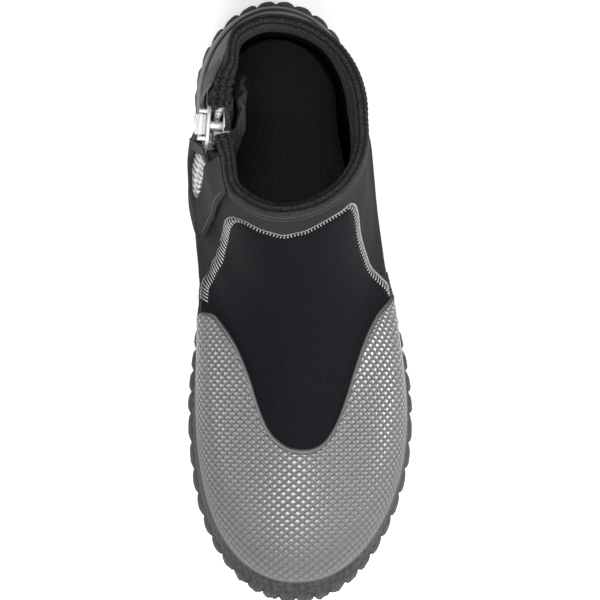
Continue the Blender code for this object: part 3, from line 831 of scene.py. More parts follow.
@dataclass(frozen=True)
class Neoprene:
    """Knit-faced neoprene: a smooth black instep panel and a charcoal ankle."""

    instep: Colour = (0.0040, 0.0040, 0.0062)
    pressed: Colour = (0.0088, 0.0088, 0.0114)
    ankle: Colour = (0.017, 0.017, 0.018)
    worn: Colour = (0.030, 0.030, 0.032)
    heel: Colour = (0.125, 0.122, 0.114)
    dusty: Colour = (0.185, 0.180, 0.170)
    grain: float = 0.55

    def material(self) -> Material:
        """Colour by the panel's edge; fine knit as bump; slow patches of wear.

        Returns:
            The material.
        """
        nodes = Nodes("knit_neoprene")
        panel = nodes.field("panel").ramp(-0.15, 0.15)
        patch = nodes.noise(34.0, 3.0).ramp(0.35, 0.75)
        knit = nodes.cells(self.grain)
        fleck = nodes.noise(1.3, 2.0)
        ankle = nodes.mix(patch * 0.55 + fleck * 0.2, self.ankle, self.worn)
        base = nodes.mix(panel, ankle, nodes.mix(fleck.ramp(0.3, 0.7) * 0.5, self.instep, self.pressed))
        cover = nodes.field("patch")
        join = (cover - 0.5).math("ABSOLUTE").ramp(0.12, 0.04)
        base = nodes.mix(cover.ramp(0.44, 0.56), base, nodes.mix(patch, self.heel, self.dusty))
        base = nodes.mix(join * 0.8, base, self.instep)
        rough = 0.78 - panel * 0.12 + patch * 0.05
        normal = nodes.bump(knit + fleck * 0.6 - join * 2.0, 0.10)
        return nodes.finish({"Base Color": base, "Roughness": rough, "Normal": normal,
                             "Specular IOR Level": 0.06})


@dataclass(frozen=True)
class Lining:
    """Brushed black cloth inside the boot."""

    colour: Colour = (0.004, 0.004, 0.0047)
    fleck: Colour = (0.009, 0.009, 0.0105)

    def material(self) -> Material:
        """Fine nap as noise in colour and bump.

        Returns:
            The material.
        """
        nodes = Nodes("brushed_lining")
        nap = nodes.noise(0.9, 4.0)
        base = nodes.mix(nap.ramp(0.35, 0.7), self.colour, self.fleck)
        return nodes.finish({"Base Color": base, "Roughness": 0.95, "Normal": nodes.bump(nap, 0.25),
                             "Specular IOR Level": 0.01})


@dataclass(frozen=True)
class Rubber:
    """Moulded grey rubber: rough in its grooves and on its flanks, polished on its studs. Its colour holds
    painted light: paler stud tops and darker grooves, painted shade down the steep flanks and a painted
    shadow along its top edge.
    """

    # groove and crest: painted shade in the grooves and painted light on the stud tops.
    groove: Colour = (0.114, 0.115, 0.1085)
    crest: Colour = (0.143, 0.144, 0.137)
    # Painted shade down the steep flanks.
    flank_shade: Colour = (0.080, 0.081, 0.0765)
    # Painted shadow along the top edge, where the rubber meets the neoprene.
    edge: Colour = (0.035, 0.035, 0.034)

    def material(self) -> Material:
        """Colour by the height of the studs and the distance from the edge, with slow patches: painted light
        on the stud tops, painted shade in the grooves and down the flanks, and a painted shadow along the
        edge.

        Returns:
            The material.
        """
        nodes = Nodes("moulded_grey_rubber")
        stud = nodes.field("stud")
        flank = nodes.field("flank")
        rim = nodes.field("rim").ramp(0.85, 0.15)
        patch = nodes.noise(22.0, 3.0)
        grain = nodes.noise(0.35, 2.0)
        # Painted light and shade: paler towards the stud tops, darker in the grooves.
        base = nodes.mix(stud * 0.8 + patch * 0.35, self.groove, self.crest)
        # Painted shade: darker down the steep flanks.
        base = nodes.mix(flank, base, self.flank_shade)
        # Painted shadow: darker within about a millimetre of the top edge.
        base = nodes.mix(rim * 0.85, base, self.edge)
        gloss = 1.0 - flank * 0.85
        rough = 0.68 - stud.ramp(0.5, 1.0) * 0.44 * gloss + grain * 0.06 + rim * 0.2
        return nodes.finish({"Base Color": base, "Roughness": rough, "Normal": nodes.bump(grain, 0.03),
                             "Specular IOR Level": 0.6, "Coat Weight": stud.ramp(0.55, 0.95) * gloss * 0.7,
                             "Coat Roughness": 0.13})


@dataclass(frozen=True)
class SoleRubber:
    """Dark tough rubber, paler and dusty on its worn edges."""

    deep: Colour = (0.018, 0.0192, 0.018)
    pale: Colour = (0.060, 0.063, 0.0592)

    def material(self) -> Material:
        """Colour by the wear attribute and a speckle; grain as bump.

        Returns:
            The material.
        """
        nodes = Nodes("sole_rubber_worn")
        wear = nodes.field("wear")
        speck = nodes.noise(2.2, 4.0)
        grain = nodes.noise(0.5, 3.0)
        base = nodes.mix(wear * 0.75 + speck.ramp(0.35, 0.75) * 0.45, self.deep, self.pale)
        rough = 0.72 - wear * 0.1 + grain * 0.12
        return nodes.finish({"Base Color": base, "Roughness": rough,
                             "Normal": nodes.bump(grain + speck * 0.7, 0.12), "Specular IOR Level": 0.4})


@dataclass(frozen=True)
class Woven:
    """Woven tape or cloth, with its threads along and across the piece.

    It can have a pale end, which is painted light where it is used, valleys along it at the pitch of its
    ridges, painted darker as shade, and pale flecks.
    """

    name: str
    dark: Colour
    light: Colour
    along: float = 1.1
    across: float = 0.9
    relief: float = 0.22
    pale: Colour | None = None
    fade: Pair = (0.0, 1.0)
    ridge: float = 0.0
    fleck: Colour | None = None

    def material(self) -> Material:
        """Crossing waves along and across the piece as bump and colour, with a fuzz of noise.

        Returns:
            The material.
        """
        nodes = Nodes(self.name)
        warp = nodes.field("along").wave(self.along)
        weft = nodes.field("across").wave(self.across)
        fuzz = nodes.noise(0.7, 3.0)
        patch = nodes.noise(9.0, 2.0)
        weave = warp * weft
        base = nodes.mix(weave * 0.4 + fuzz.ramp(0.38, 0.68) * 0.5 + patch * 0.2, self.dark, self.light)
        # Painted light: the pale end stands for light falling on that end of the piece.
        if self.pale:
            base = nodes.mix(nodes.field("along").ramp(*self.fade) * (fuzz * 0.4 + 0.6), base, self.pale)
        if self.fleck:
            base = nodes.mix(nodes.noise(0.6, 1.0).ramp(0.50, 0.66) * 0.7, base, self.fleck)
        height = weave + fuzz * 0.8
        if self.ridge:
            # Painted shade: the valleys between the ridges are darkened.
            shaded_valley = 1.0 - nodes.field("across").wave(self.ridge).ramp(0.0, 0.55)
            base = nodes.mix(shaded_valley * 0.8, base, self.dark)
            height = height - shaded_valley * 1.5
        return nodes.finish({"Base Color": base, "Roughness": 0.9 - weave * 0.1,
                             "Normal": nodes.bump(height, self.relief), "Sheen Weight": 0.04,
                             "Specular IOR Level": 0.07})


@dataclass(frozen=True)
class Thread:
    """Twisted sewing thread."""

    name: str
    dark: Colour
    light: Colour

    def material(self) -> Material:
        """Colour by the shine attribute, which holds painted light on the flatlock seam, uneven as noise;
        fibres as bump.

        Returns:
            The material.
        """
        nodes = Nodes(self.name)
        dye = nodes.noise(2.6, 2.0)
        fibre = nodes.noise(0.22, 2.0)
        # The shine attribute carries painted light on the flatlock seam and a fixed tone on the other
        # stitches.
        base = nodes.mix(nodes.field("shine") * (dye * 0.7 + fibre * 0.3 + 0.5), self.dark, self.light)
        return nodes.finish({"Base Color": base, "Roughness": 0.7 + fibre * 0.1,
                             "Normal": nodes.bump(fibre, 0.08), "Sheen Weight": 0.1})


@dataclass(frozen=True)
class Plastic:
    """Silvered moulded plastic with faint scuffs."""

    name: str
    colour: Colour
    scuffed: Colour
    roughness: float = 0.28

    def material(self) -> Material:
        """Scuffs as stretched noise in colour and roughness.

        Returns:
            The material.
        """
        nodes = Nodes(self.name)
        scuff = nodes.noise(1.6, 5.0, (1.0, 0.35, 1.0)).ramp(0.55, 0.8)
        flow = nodes.noise(7.0, 2.0)
        base = nodes.mix(scuff * 0.5 + flow * 0.25, self.colour, self.scuffed)
        return nodes.finish({"Base Color": base, "Roughness": self.roughness + scuff * 0.2 + flow * 0.06,
                             "Normal": nodes.bump(nodes.noise(0.5), 0.02), "Metallic": 0.25,
                             "Coat Weight": 0.3, "Coat Roughness": 0.15})


@dataclass(frozen=True)
class Footbed:
    """Cloth-faced foam with a fine mesh."""

    colour: Colour = (0.021, 0.021, 0.0235)
    light: Colour = (0.031, 0.031, 0.034)

    def material(self) -> Material:
        """Mesh cells as colour and bump.

        Returns:
            The material.
        """
        nodes = Nodes("footbed_mesh")
        cell = nodes.cells(1.5)
        base = nodes.mix(cell.ramp(0.2, 0.6), self.light, self.colour)
        return nodes.finish({"Base Color": base, "Roughness": 0.92, "Normal": nodes.bump(cell, 0.3)})


# Sub-assemblies


@dataclass
class Crease:
    """Soft trough between two points of the upper, with a low ridge beside it."""

    start: Pair
    end: Pair
    width: float
    depth: float


@dataclass
class Bootie:
    """Hollow neoprene upper: outer face with seam groove and creases, lining, and the flatlock seam."""

    last: Last
    zip_line: ZipLine
    wall: float = 5.0
    thinned: float = 2.2
    rows: int = 150
    columns: tuple[int, int, int] = (150, 42, 108)
    crease_points: int = 40
    patch_fade: float = 0.09
    stitch_pitch: float = 1.55
    thread: float = 0.36
    lean: Table = ((0.80, 0.18), (1.0, 0.2), (1.09, 0.0), (1.13, -0.5), (1.24, -0.5))
    rail: Table = ((0.80, 0.16), (0.90, 0.2), (1.08, 0.22), (1.13, 0.5), (1.24, 0.42))
    stitch_half: Table = ((0.80, 2.7), (0.86, 2.5), (0.90, 0.85), (1.10, 0.75), (1.14, 1.5), (1.24, 1.5))
    # Painted light on the seam's thread by way round: the inner branch paler, the top and outer branch
    # darker.
    shine: Table = (
        (0.80, 0.8), (0.83, 1.0), (0.865, 1.0), (0.90, 0.7), (1.0, 0.75), (1.10, 0.7), (1.14, 0.65),
        (1.24, 0.7),
    )
    heel_patch: Table = ((0.38, 0.0), (0.44, 0.32), (0.50, 0.82), (0.56, 0.93), (0.75, 0.93))
    seam_table: Table = (
        (0.7856, 0.393), (0.7831, 0.409), (0.7850, 0.441), (0.8050, 0.513), (0.8275, 0.578), (0.8363, 0.627),
        (0.8430, 0.663), (0.8575, 0.725), (0.8738, 0.770), (0.8919, 0.808), (0.9175, 0.837), (0.9413, 0.843),
        (0.9637, 0.847), (0.9838, 0.845), (1.0031, 0.843), (1.0194, 0.848), (1.0338, 0.849), (1.0525, 0.855),
        (1.0719, 0.858), (1.0919, 0.854), (1.1094, 0.848), (1.1237, 0.835), (1.1375, 0.790), (1.1444, 0.751),
        (1.1494, 0.710), (1.1575, 0.664), (1.1688, 0.609), (1.1856, 0.545), (1.2069, 0.476), (1.2200, 0.420),
        (1.2406, 0.300),
    )
    creases: tuple[Crease, ...] = (
        Crease((0.128, 0.985), (0.152, 0.74), 3.6, 1.0),
        Crease((0.168, 0.97), (0.176, 0.76), 4.2, 0.9),
        Crease((0.235, 0.66), (0.330, 0.58), 5.0, 0.9),
        Crease((0.250, 0.56), (0.345, 0.49), 5.0, 0.7),
        Crease((0.400, 0.72), (0.575, 0.69), 5.5, 1.1),
        Crease((0.420, 0.60), (0.560, 0.58), 5.0, 0.9),
        Crease((0.880, 0.93), (0.905, 0.87), 3.2, 0.5),
        Crease((0.800, 0.62), (0.832, 0.66), 3.0, 0.6),
    )

    def patch(self, lap: Array, t: Array) -> Array:
        """Share from 0 to 1 of the rubberised patch, below its table's line and clear of the zip.

        Args:
            lap: Ways round.
            t: Height shares, the same along each row.

        Returns:
            Shares.
        """
        way = np.mod(lap, 1.0)
        line = np.interp(way, *np.array(self.heel_patch).T, right=0.0)
        heel = self.zip_line.edge_laps(t[:, 0])[0][:, None]
        return smooth((line - t) / self.patch_fade) * smooth((heel - 0.012 - way) / 0.02)

    def seam(self) -> tuple[Array, Array]:
        """Line of the seam, evenly spaced in length.

        Returns:
            Ways round and height shares.
        """
        way = curve(np.array(self.seam_table), 1500)
        run = run_length(self.last.point(way[:, 0], way[:, 1]))
        even = np.linspace(0.0, run[-1], 3000)
        lap = np.interp(even, run, way[:, 0])
        t = np.interp(even, run, way[:, 1])
        above = t > self.last.rubber_line(lap) - 0.004
        return lap[above], t[above]

    def panel(self, lap: Array, t: Array) -> Array:
        """Distance to the seam, with its sign from the seam's height at the same way round.

        Args:
            lap: Ways round.
            t: Height shares.

        Returns:
            Distances, positive on the instep.
        """
        seam_lap, seam_t = self.seam()
        distance, _ = nearest(self.last.point(lap, t), self.last.point(seam_lap, seam_t))
        way = np.mod(lap, 1.0)
        turned = np.where(way < 0.5, way + 1.0, way)
        order = np.argsort(seam_lap)
        over = np.interp(turned, seam_lap[order], seam_t[order], left=-1.0, right=-1.0)
        return np.where(t < over, distance, -distance)

    def relief(self, lap: Array, t: Array, panel: Array) -> Array:
        """Height of the outer face: a bell's groove at the seam, a fuller instep, and the creases' bells.

        Args:
            lap: Ways round.
            t: Height shares.
            panel: Distances to the seam.

        Returns:
            Heights over the last.
        """
        spots = self.last.point(lap, t)
        height = 0.45 * smooth(panel / 5.0) - 0.55 * bell(panel, 1.9)
        for crease in self.creases:
            way = np.linspace(crease.start, crease.end, self.crease_points)
            distance, number = nearest(spots, self.last.point(way[:, 0], way[:, 1]))
            taper = np.sin(math.pi * (number + 0.5) / self.crease_points) ** 0.7
            trough = bell(distance, crease.width) - 0.45 * bell(distance - 2.0 * crease.width, crease.width)
            height -= crease.depth * taper * trough
        return height * smooth((1.0 - t) / 0.05)

    def build(self) -> None:
        """Makes the upper and its seam."""
        t = np.linspace(0.0, 1.0, self.rows + 1)
        heel, toe = self.zip_line.edge_laps(t)
        one, two, three = self.columns
        first = np.broadcast_to(np.linspace(0.0, 0.5, one, endpoint=False), (len(t), one))
        second = 0.5 + (heel - 0.5)[:, None] * np.linspace(0.0, 1.0, two)
        third = toe[:, None] + (1.0 - toe)[:, None] * np.linspace(0.0, 1.0, three, endpoint=False)
        lap = np.concatenate([first, second, third], 1)
        height = np.broadcast_to(t[:, None], lap.shape)
        panel = self.panel(lap, height)
        relief = self.relief(lap, height, panel)
        spots = self.last.point(lap, height)
        inside = np.mod(lap, 1.0) > 0.5
        relief = relief - self.zip_line.pull(lap, spots[..., 2])
        relief += np.where(inside, self.zip_line.swell(spots[..., 1], spots[..., 2]), 0.0)
        outer = self.last.offset(lap, height, relief)
        wall = relief - self.wall + self.thinned * smooth((height - 0.88) / 0.12)
        inner = self.last.offset(lap, height, wall)
        keep = np.ones((self.rows, sum(self.columns)), bool)
        slit = one + two - 1
        keep[outer[:-1, slit, 2] > self.zip_line.foot + 8.0, slit] = False
        shell = Solid()
        patch = self.patch(lap, height)
        shell.shell(outer, inner, wrap=True, keep=keep, slots=(0, 1), panel=panel, patch=patch)
        self.shell = shell.build("upper_shell")
        self.stitches = self.build_seam()

    def build_seam(self) -> Piece:
        """Flatlock seam: arched rungs across the seam, and a looped thread along one side.

        Returns:
            The object.
        """
        lap, t = self.seam()
        on = self.last.offset(lap, t, self.relief(lap, t, np.zeros(lap.shape)) + 0.25)
        normal = self.last.normal(lap, t)
        way = unit(np.gradient(on, axis=0))
        across = unit(np.cross(normal, way))
        step = np.linalg.norm(np.diff(on, axis=0) * np.array([1.0, 1.0, 0.3]), axis=1)
        run = np.concatenate([[0.0], np.cumsum(step)])
        middles = (np.arange(int(run[-1] / self.stitch_pitch)) + 0.5) * self.stitch_pitch
        pick = np.interp(middles, run, np.arange(len(on))).round().astype(int)
        half = read(self.stitch_half, lap)
        # shine: painted light along the seam.
        shine = read(self.shine, lap)
        slant = read(self.lean, lap) * half
        share = np.linspace(-1.0, 1.0, 9)
        rise = 0.42 - 0.36 * share**2
        rungs = on[pick][:, None] + across[pick][:, None] * (half[pick][:, None] * share)[..., None]
        rungs = rungs + normal[pick][:, None] * rise[:, None]
        rungs = rungs + way[pick][:, None] * (slant[pick][:, None] * share)[..., None]
        threads = Solid()
        up = np.broadcast_to(normal[pick][:, None], rungs.shape)
        thick = self.thread * (0.80 - 0.20 * share) * (1.0 - 0.25 * share**8)
        # Painted light across each rung: one end paler than the other.
        threads.tubes(rungs, up, thick, 6, shine=shine[pick][:, None] * (0.72 - 0.28 * share))
        turn = ROUND * run / self.stitch_pitch
        rail = on + across * (half + 0.2 + 0.12 * np.sin(turn))[:, None] + normal * 0.08
        thick = read(self.rail, lap)
        # The rail carries the same painted light along the seam.
        threads.tubes(rail[None, ::3], normal[None, ::3], thick[None, ::3], 6, shine=0.6 * shine[None, ::3])
        return threads.build("flatlock_seam")

    def dress(self) -> None:
        """Gives the upper and its seam their finishes."""
        fit(self.shell, [Neoprene().material(), Lining().material()], ("upper",))
        thread = Thread("seam_thread", (0.028, 0.027, 0.027), (0.60, 0.575, 0.56))
        fit(self.stitches, [thread.material()])


@dataclass
class RubberSkins:
    """Grey rubber over the foot: studded toe cap and smooth heel counter.

    A stud's levels are their share of its width, their share of its height, and their polish, which also sets
    the painted light that makes the stud paler towards its top. Where the lattice runs past the foot, spare
    stands for the height share.
    """

    last: Last
    zip_line: ZipLine
    thick: float = 1.5
    outer_seam: float = 0.2708
    stud_wide: float = 4.80
    stud_closer: float = 0.0052
    stud_long: float = 3.82
    stud_high: float = 0.62
    stud_rows: tuple[int, int] = (-71, 21)
    stud_columns: int = 60
    stud_levels: tuple[Triple, ...] = (
        (0.93, -0.12, 0.45), (0.75, 0.64, 0.72), (0.58, 0.91, 0.95), (0.36, 1.0, 1.0),
    )
    edge_margin: float = 0.010
    shape: tuple[int, int] = (46, 240)
    butt: float = 0.0005
    spare: float = 0.2

    @staticmethod
    def flank(t: Array) -> Array:
        """Share from 0 over the top of the foot to 1 down its steep sides, by height share; it sets painted
        shade and less polish there.
        """
        return smooth((0.36 - t) / 0.22)

    def inner_seam(self, t: Array) -> Array:
        """Way round of the butt seam on the inner side, just ahead of the zip."""
        toe = self.zip_line.edge_laps(t)[1]
        return toe + (1.0 - toe) / 16.0

    def skin(self, solid: Solid, start: Array, end: Array, flank_shade: float) -> None:
        """Lays a closed skin between two ways round, from the feather line to the rubber line.

        Args:
            solid: Takes the skin.
            start: Way round of its first edge by height share of the skin.
            end: Way round of its last edge.
            flank_shade: Share of the flank's painted shade and lower polish that the skin shows.
        """
        rows, columns = self.shape
        share = np.linspace(0.0, 1.0, rows)
        lap = start[:, None] + (end - start)[:, None] * np.linspace(0.0, 1.0, columns)
        line = self.last.rubber_line(lap)
        t = line * (1.0 - (1.0 - share[:, None]) ** 1.25)
        rim = np.linalg.norm(self.last.point(lap, t) - self.last.point(lap, line), axis=-1)
        full = 0.45 + 0.55 * smooth(rim / 1.8)
        outer = self.last.offset(lap, t, GAP + self.thick * full)
        inner = self.last.offset(lap, t, 0.1)
        outer[0, :, 2] = inner[0, :, 2] = self.last.point(lap[0], t[0])[:, 2]
        # Colour fields: stud 0.45 is the darker groove tone, flank sets painted shade down the sides, rim
        # sets the painted shadow along the top edge.
        solid.shell(outer, inner, rim=rim, stud=0.45, flank=flank_shade * self.flank(t))

    def lattice(self) -> tuple[Array, Array, Array, Array]:
        """Nodes of the stud lattice: y in rows, and in columns the length round the section from the ridge.

        The columns close up with the square of their number, so the studs grow narrower down the flanks.

        Returns:
            Points on the skin, outward directions, ways round and height shares, with gaps as not a number.
        """
        y = np.arange(*self.stud_rows) * 0.5 * self.stud_long
        column = np.arange(-self.stud_columns, self.stud_columns + 1)
        heights = np.linspace(0.112, 1.0, 500)
        ridge = np.interp(y, self.last.ring(heights)[3], heights)
        t = np.full((len(y), len(column)), np.nan)
        lap = np.full(t.shape, np.nan)
        fall = np.linspace(0.0, 1.0, 300) ** 2
        for side in Side:
            down = ridge[:, None] * (1.0 - fall)
            section = self.last.point(self.last.lap_at(y[:, None], down, side), down)
            run = run_length(section, 1)
            part = column >= 0 if side is Side.OUTER else column < 0
            off = np.abs(column[part])
            want = off * 0.5 * self.stud_wide * (1.0 - self.stud_closer * off)
            for row in range(len(y)):
                t[row, part] = np.interp(want, run[row], down[row], right=np.nan)
            lap[:, part] = self.last.lap_at(y[:, None], np.nan_to_num(t[:, part], nan=self.spare), side)
        known = np.minimum(np.nan_to_num(t, nan=self.spare), self.last.rubber_line(lap) - 0.005)
        return self.last.offset(lap, known, GAP + self.thick - 0.06), self.last.normal(lap, known), lap, t

    def studs(self, solid: Solid) -> None:
        """Adds the studs: a flat-topped bead on every other node, its four corners on the nodes between.

        Args:
            solid: Takes the studs.
        """
        node, normal, lap, t = self.lattice()
        line = self.last.rubber_line(lap)
        around = np.linspace(self.inner_seam(np.array(self.spare)) - 1.0, self.outer_seam, 700)
        edge = self.last.offset(around, self.last.rubber_line(around), GAP + self.thick)
        rim, _ = nearest(node, edge)
        turned = np.where(lap > 0.5, lap - 1.0, lap)
        start = self.inner_seam(np.nan_to_num(t, nan=self.spare)) - 1.0
        inside = (turned > start + 0.004) & (turned < self.outer_seam - 0.004)
        there = (np.nan_to_num(t, nan=-1.0) > 0.055) & inside
        free = there & (t < line + self.edge_margin)
        beside = there[1:-1, 2:] & there[2:, 1:-1] & there[1:-1, :-2] & there[:-2, 1:-1]
        i, j = np.argwhere(free[1:-1, 1:-1] & beside).T + 1
        even = (i + j) % 2 == 0
        i, j = i[even], j[even]
        centre = node[i, j][:, None]
        corners = np.stack([node[i, j + 1], node[i + 1, j], node[i, j - 1], node[i - 1, j]], 1) - centre
        out = normal[i, j][:, None]
        low = smooth((t[i, j] - 0.07) / 0.20)[:, None, None] * smooth((rim[i, j] + 0.9) / 1.7)[:, None, None]
        tall = self.stud_high * (0.10 + 0.90 * low)
        rings = []
        for share, rise, _ in self.stud_levels:
            sides = 0.5 * (corners + np.roll(corners, -1, 1)) * (1.22 - 0.24 * share)
            ring = np.stack([corners, sides], 2).reshape(len(i), 8, 3)
            rings.append(centre + ring * share + out * tall * rise)
        # Each level's tone sets its polish and its painted light, paler towards the stud top.
        shade = np.array([tone for _, _, tone in self.stud_levels])[None, :, None]
        solid.lofts(np.stack(rings, 1), rim=9.0, stud=shade, flank=self.flank(t[i, j])[:, None, None])

    def build(self) -> None:
        """Makes the toe cap and the heel counter."""
        inner = self.inner_seam(0.3 * np.linspace(0.0, 1.0, self.shape[0]))
        outer = np.full(self.shape[0], self.outer_seam)
        cap = Solid()
        self.skin(cap, inner - 1.0 + self.butt, outer - self.butt, 1.0)
        self.studs(cap)
        self.cap = cap.build("toe_cap_skin")
        counter = Solid()
        self.skin(counter, outer + self.butt, inner - self.butt, 0.45)
        self.counter = counter.build("heel_counter_skin")

    def dress(self) -> None:
        """Gives both skins the grey rubber."""
        grey = Rubber().material()
        fit(self.cap, [grey], ("toe_cap",))
        fit(self.counter, [grey], ("heel_counter",))


@dataclass
class Outsole:
    """Cup sole: rim, ribbed wall, overlapping edge scales, and lugs on an arched underside with toe spring.

    A rim step is height share, share of the rim's width and drop; a wall step is share of the way down and
    push; a scale step is growth past the outline, height over the tread and share of the scallop.
    """

    last: Last
    lugs: int = 64
    steps: int = 12
    lug_depth: float = 4.0
    scallop: float = 1.7
    toe_spring: float = 9.0
    arch_rise: float = 3.0
    rim: float = 2.4
    seat: float = 2.2
    sharp_over: float = 50.0
    rim_steps: tuple[Triple, ...] = (
        (0.03, 0.0, 0.0), (0.054, 0.0, 0.0), (0.062, 0.22, 0.1), (0.064, 0.55, 0.25), (0.061, 0.85, 0.5),
        (0.052, 1.0, 0.9),
    )
    floor_line: Table = ((-140.0, 18.0), (-110.0, 14.6), (-85.0, 12.6), (140.0, 12.6))
    wall_steps: Table = (
        (0.12, -0.5), (0.22, 0.15), (0.40, 0.25), (0.50, -0.55), (0.60, 0.2), (0.80, 0.3), (0.92, -0.35),
    )
    scale_steps: tuple[Triple, ...] = (
        (-2.4, 10.0, 0.0), (-1.5, 9.6, 0.55), (-0.5, 8.9, 0.9), (0.0, 8.0, 1.0), (0.25, 6.4, 1.0),
        (0.25, 4.4, 1.0), (0.1, 2.4, 1.0), (-0.3, 1.0, 1.0), (-1.3, 0.1, 1.0),
    )

    def tread(self, y: Array) -> Array:
        """Height of the underside between the lugs: a squared rise at the toe and a cosine arch.

        Args:
            y: Stations.

        Returns:
            Heights.
        """
        spring = self.toe_spring * np.clip((-88.0 - y) / 61.0, 0.0, 1.0) ** 2
        arch = self.arch_rise * np.cos(np.clip((y - 32.0) / 34.0, -1.0, 1.0) * QUARTER) ** 2
        return self.lug_depth + spring + arch

    def edge(self, lap: Array, grow: Array | float) -> Array:
        """Outline of the sole, grown away from itself towards an outline that is 1 mm larger all round.

        Args:
            lap: Ways round.
            grow: Distance outwards.

        Returns:
            Plan points.
        """
        near = self.last.scaled(self.last.sole_edge)[:, None]
        far = near.copy()
        far[3] -= 1.0
        far[6] += 1.0
        far[7:9] += 1.0
        spot = np.stack(self.last.outline(lap, near), -1)
        away = unit(np.stack(self.last.outline(lap, far), -1) - spot)
        return spot + away * np.broadcast_to(grow, lap.shape)[:, None]

    def inward(self, row: Array, share: float) -> Array:
        """Draws a row in towards the foot's middle line.

        Args:
            row: Points.
            share: Share of their distance from the line that is left.

        Returns:
            Plan points.
        """
        stop = np.clip(row[:, 1], -105.0, 108.0)
        middle = self.last.centreline(stop)
        return np.stack([middle + (row[:, 0] - middle) * share, stop + (row[:, 1] - stop) * share], -1)

    def wall(self, lap: Array, phase: Array) -> list[tuple[Array, Array]]:
        """Rows of the cup from its floor over the rim and down to the lugs' edge; ribs and lumps are sines.

        Args:
            lap: Ways round.
            phase: Share of the way from one edge scale to the next.

        Returns:
            Points and wear of each row.
        """
        count = len(lap)
        scale = 1.0 - np.abs(2.0 * phase**0.85 - 1.0) ** 2.6
        bulge = self.scallop * (scale - 0.6)
        floor = self.last.offset(lap, np.zeros(count), self.seat)
        floor[:, 2] = self.last.point(lap, np.zeros(count))[:, 2] - GAP
        mid = np.concatenate([self.inward(floor, 0.45), np.zeros((count, 1))], 1)
        mid[:, 2] = read(self.floor_line, mid[:, 1])
        rows = [(mid, np.zeros(count)), (floor, np.zeros(count))]
        for t, depth, drop in self.rim_steps:
            row = self.last.offset(lap, np.full(count, t), self.seat + self.rim * depth)
            row[:, 2] -= drop
            rows.append((row, np.full(count, 0.9 if depth > 0.4 else 0.3)))
        top = rows[-1][0]
        foot = self.edge(lap, -2.6)
        base = self.tread(foot[:, 1])
        foot = np.concatenate([foot, (base + 10.2)[:, None]], 1)
        way = np.abs(np.mod(lap + 0.5, 1.0) - 0.5)
        blunt = smooth((0.085 - way) / 0.05)
        rib = (0.5 + 0.5 * np.cos(4.0 * math.pi * phase)) * (1.0 - 0.6 * blunt)
        side = unit(np.concatenate([self.edge(lap, 1.0) - self.edge(lap, 0.0), np.zeros((count, 1))], 1))
        for share, groove in self.wall_steps:
            row = top + (foot - top) * share
            pits = np.sin(503.0 * lap + 7.0 * share) * np.sin(347.0 * lap - 9.0 * share) * blunt
            push = groove + 0.45 * rib * soft_box(share, 0.15, 0.95, 0.1) + 0.55 * pits
            wear = np.clip(0.35 + 0.4 * rib + 0.6 * pits - 0.25 * blunt, 0.0, 1.2)
            rows.append((row + side * push[:, None], wear))
        ragged = 0.25 + 0.95 * blunt
        for grow, lift, part in self.scale_steps:
            lump = np.sin(817.0 * lap + 1.3 * lift) + 0.7 * np.sin(1511.0 * lap - 2.1 * lift)
            lump = 0.42 * ragged * lump * part * smooth(lift / 2.0)
            plan = self.edge(lap, grow + bulge * part + lump)
            row = np.concatenate([plan, (self.tread(plan[:, 1]) + lift + 0.6 * lump)[:, None]], 1)
            rows.append((row, np.clip(0.25 + 0.75 * scale * part + 0.5 * lump, 0.0, 1.2)))
        return rows

    def underside(self, base: Array, phase: Array, pair: Array) -> list[tuple[Array, Array]]:
        """Rows of the underside: the tread's height less the lug depth times smooth boxes round and inwards.

        Args:
            base: Points of the row that it starts from.
            phase: Share of the way from one edge lug to the next.
            pair: The same for the lugs further in, which are twice as long.

        Returns:
            Points and wear of each row.
        """
        shares = np.concatenate([np.linspace(0.985, 0.735, 14), np.linspace(0.715, 0.315, 20),
                                 np.linspace(0.285, 0.05, 10)])
        rows = []
        for share in shares:
            plan = self.inward(base, share)
            outer = soft_box(phase, 0.02, 0.56, 0.1) * soft_box(share, 0.735, 0.99, 0.025)
            middle = soft_box(pair, 0.22, 0.78, 0.06) * soft_box(share, 0.315, 0.71, 0.03)
            flat = (plan[:, 1] > -118.0) & (plan[:, 1] < 116.0)
            core = soft_box(pair, 0.22, 0.78, 0.06) * (share < 0.29) * flat
            lug = np.maximum(np.maximum(outer, middle), core)
            z = self.tread(plan[:, 1]) - self.lug_depth * lug
            rows.append((np.concatenate([plan, z[:, None]], 1), 0.55 * lug))
        return rows

    def build(self) -> None:
        """Makes the sole as one closed skin round the foot, joined along its middle line."""
        count = self.lugs * self.steps
        lap = np.arange(count) / count
        phase = np.mod(lap * self.lugs, 1.0)
        pair = np.mod(lap * self.lugs * 0.5, 1.0)
        rows = self.wall(lap, phase)
        rows += self.underside(rows[-1][0], phase, pair)
        points, wear = (np.stack(part) for part in zip(*rows))
        sole = Solid()
        index = sole.grid(points, wrap=True, flip=True, wear=wear)
        sole.bridge(index[0], 1)
        sole.bridge(index[-1], -1)
        self.sole = sole.build("outsole_cup", self.sharp_over)

    def dress(self) -> None:
        """Gives the sole its rubber."""
        fit(self.sole, [SoleRubber().material()], ("outsole",))


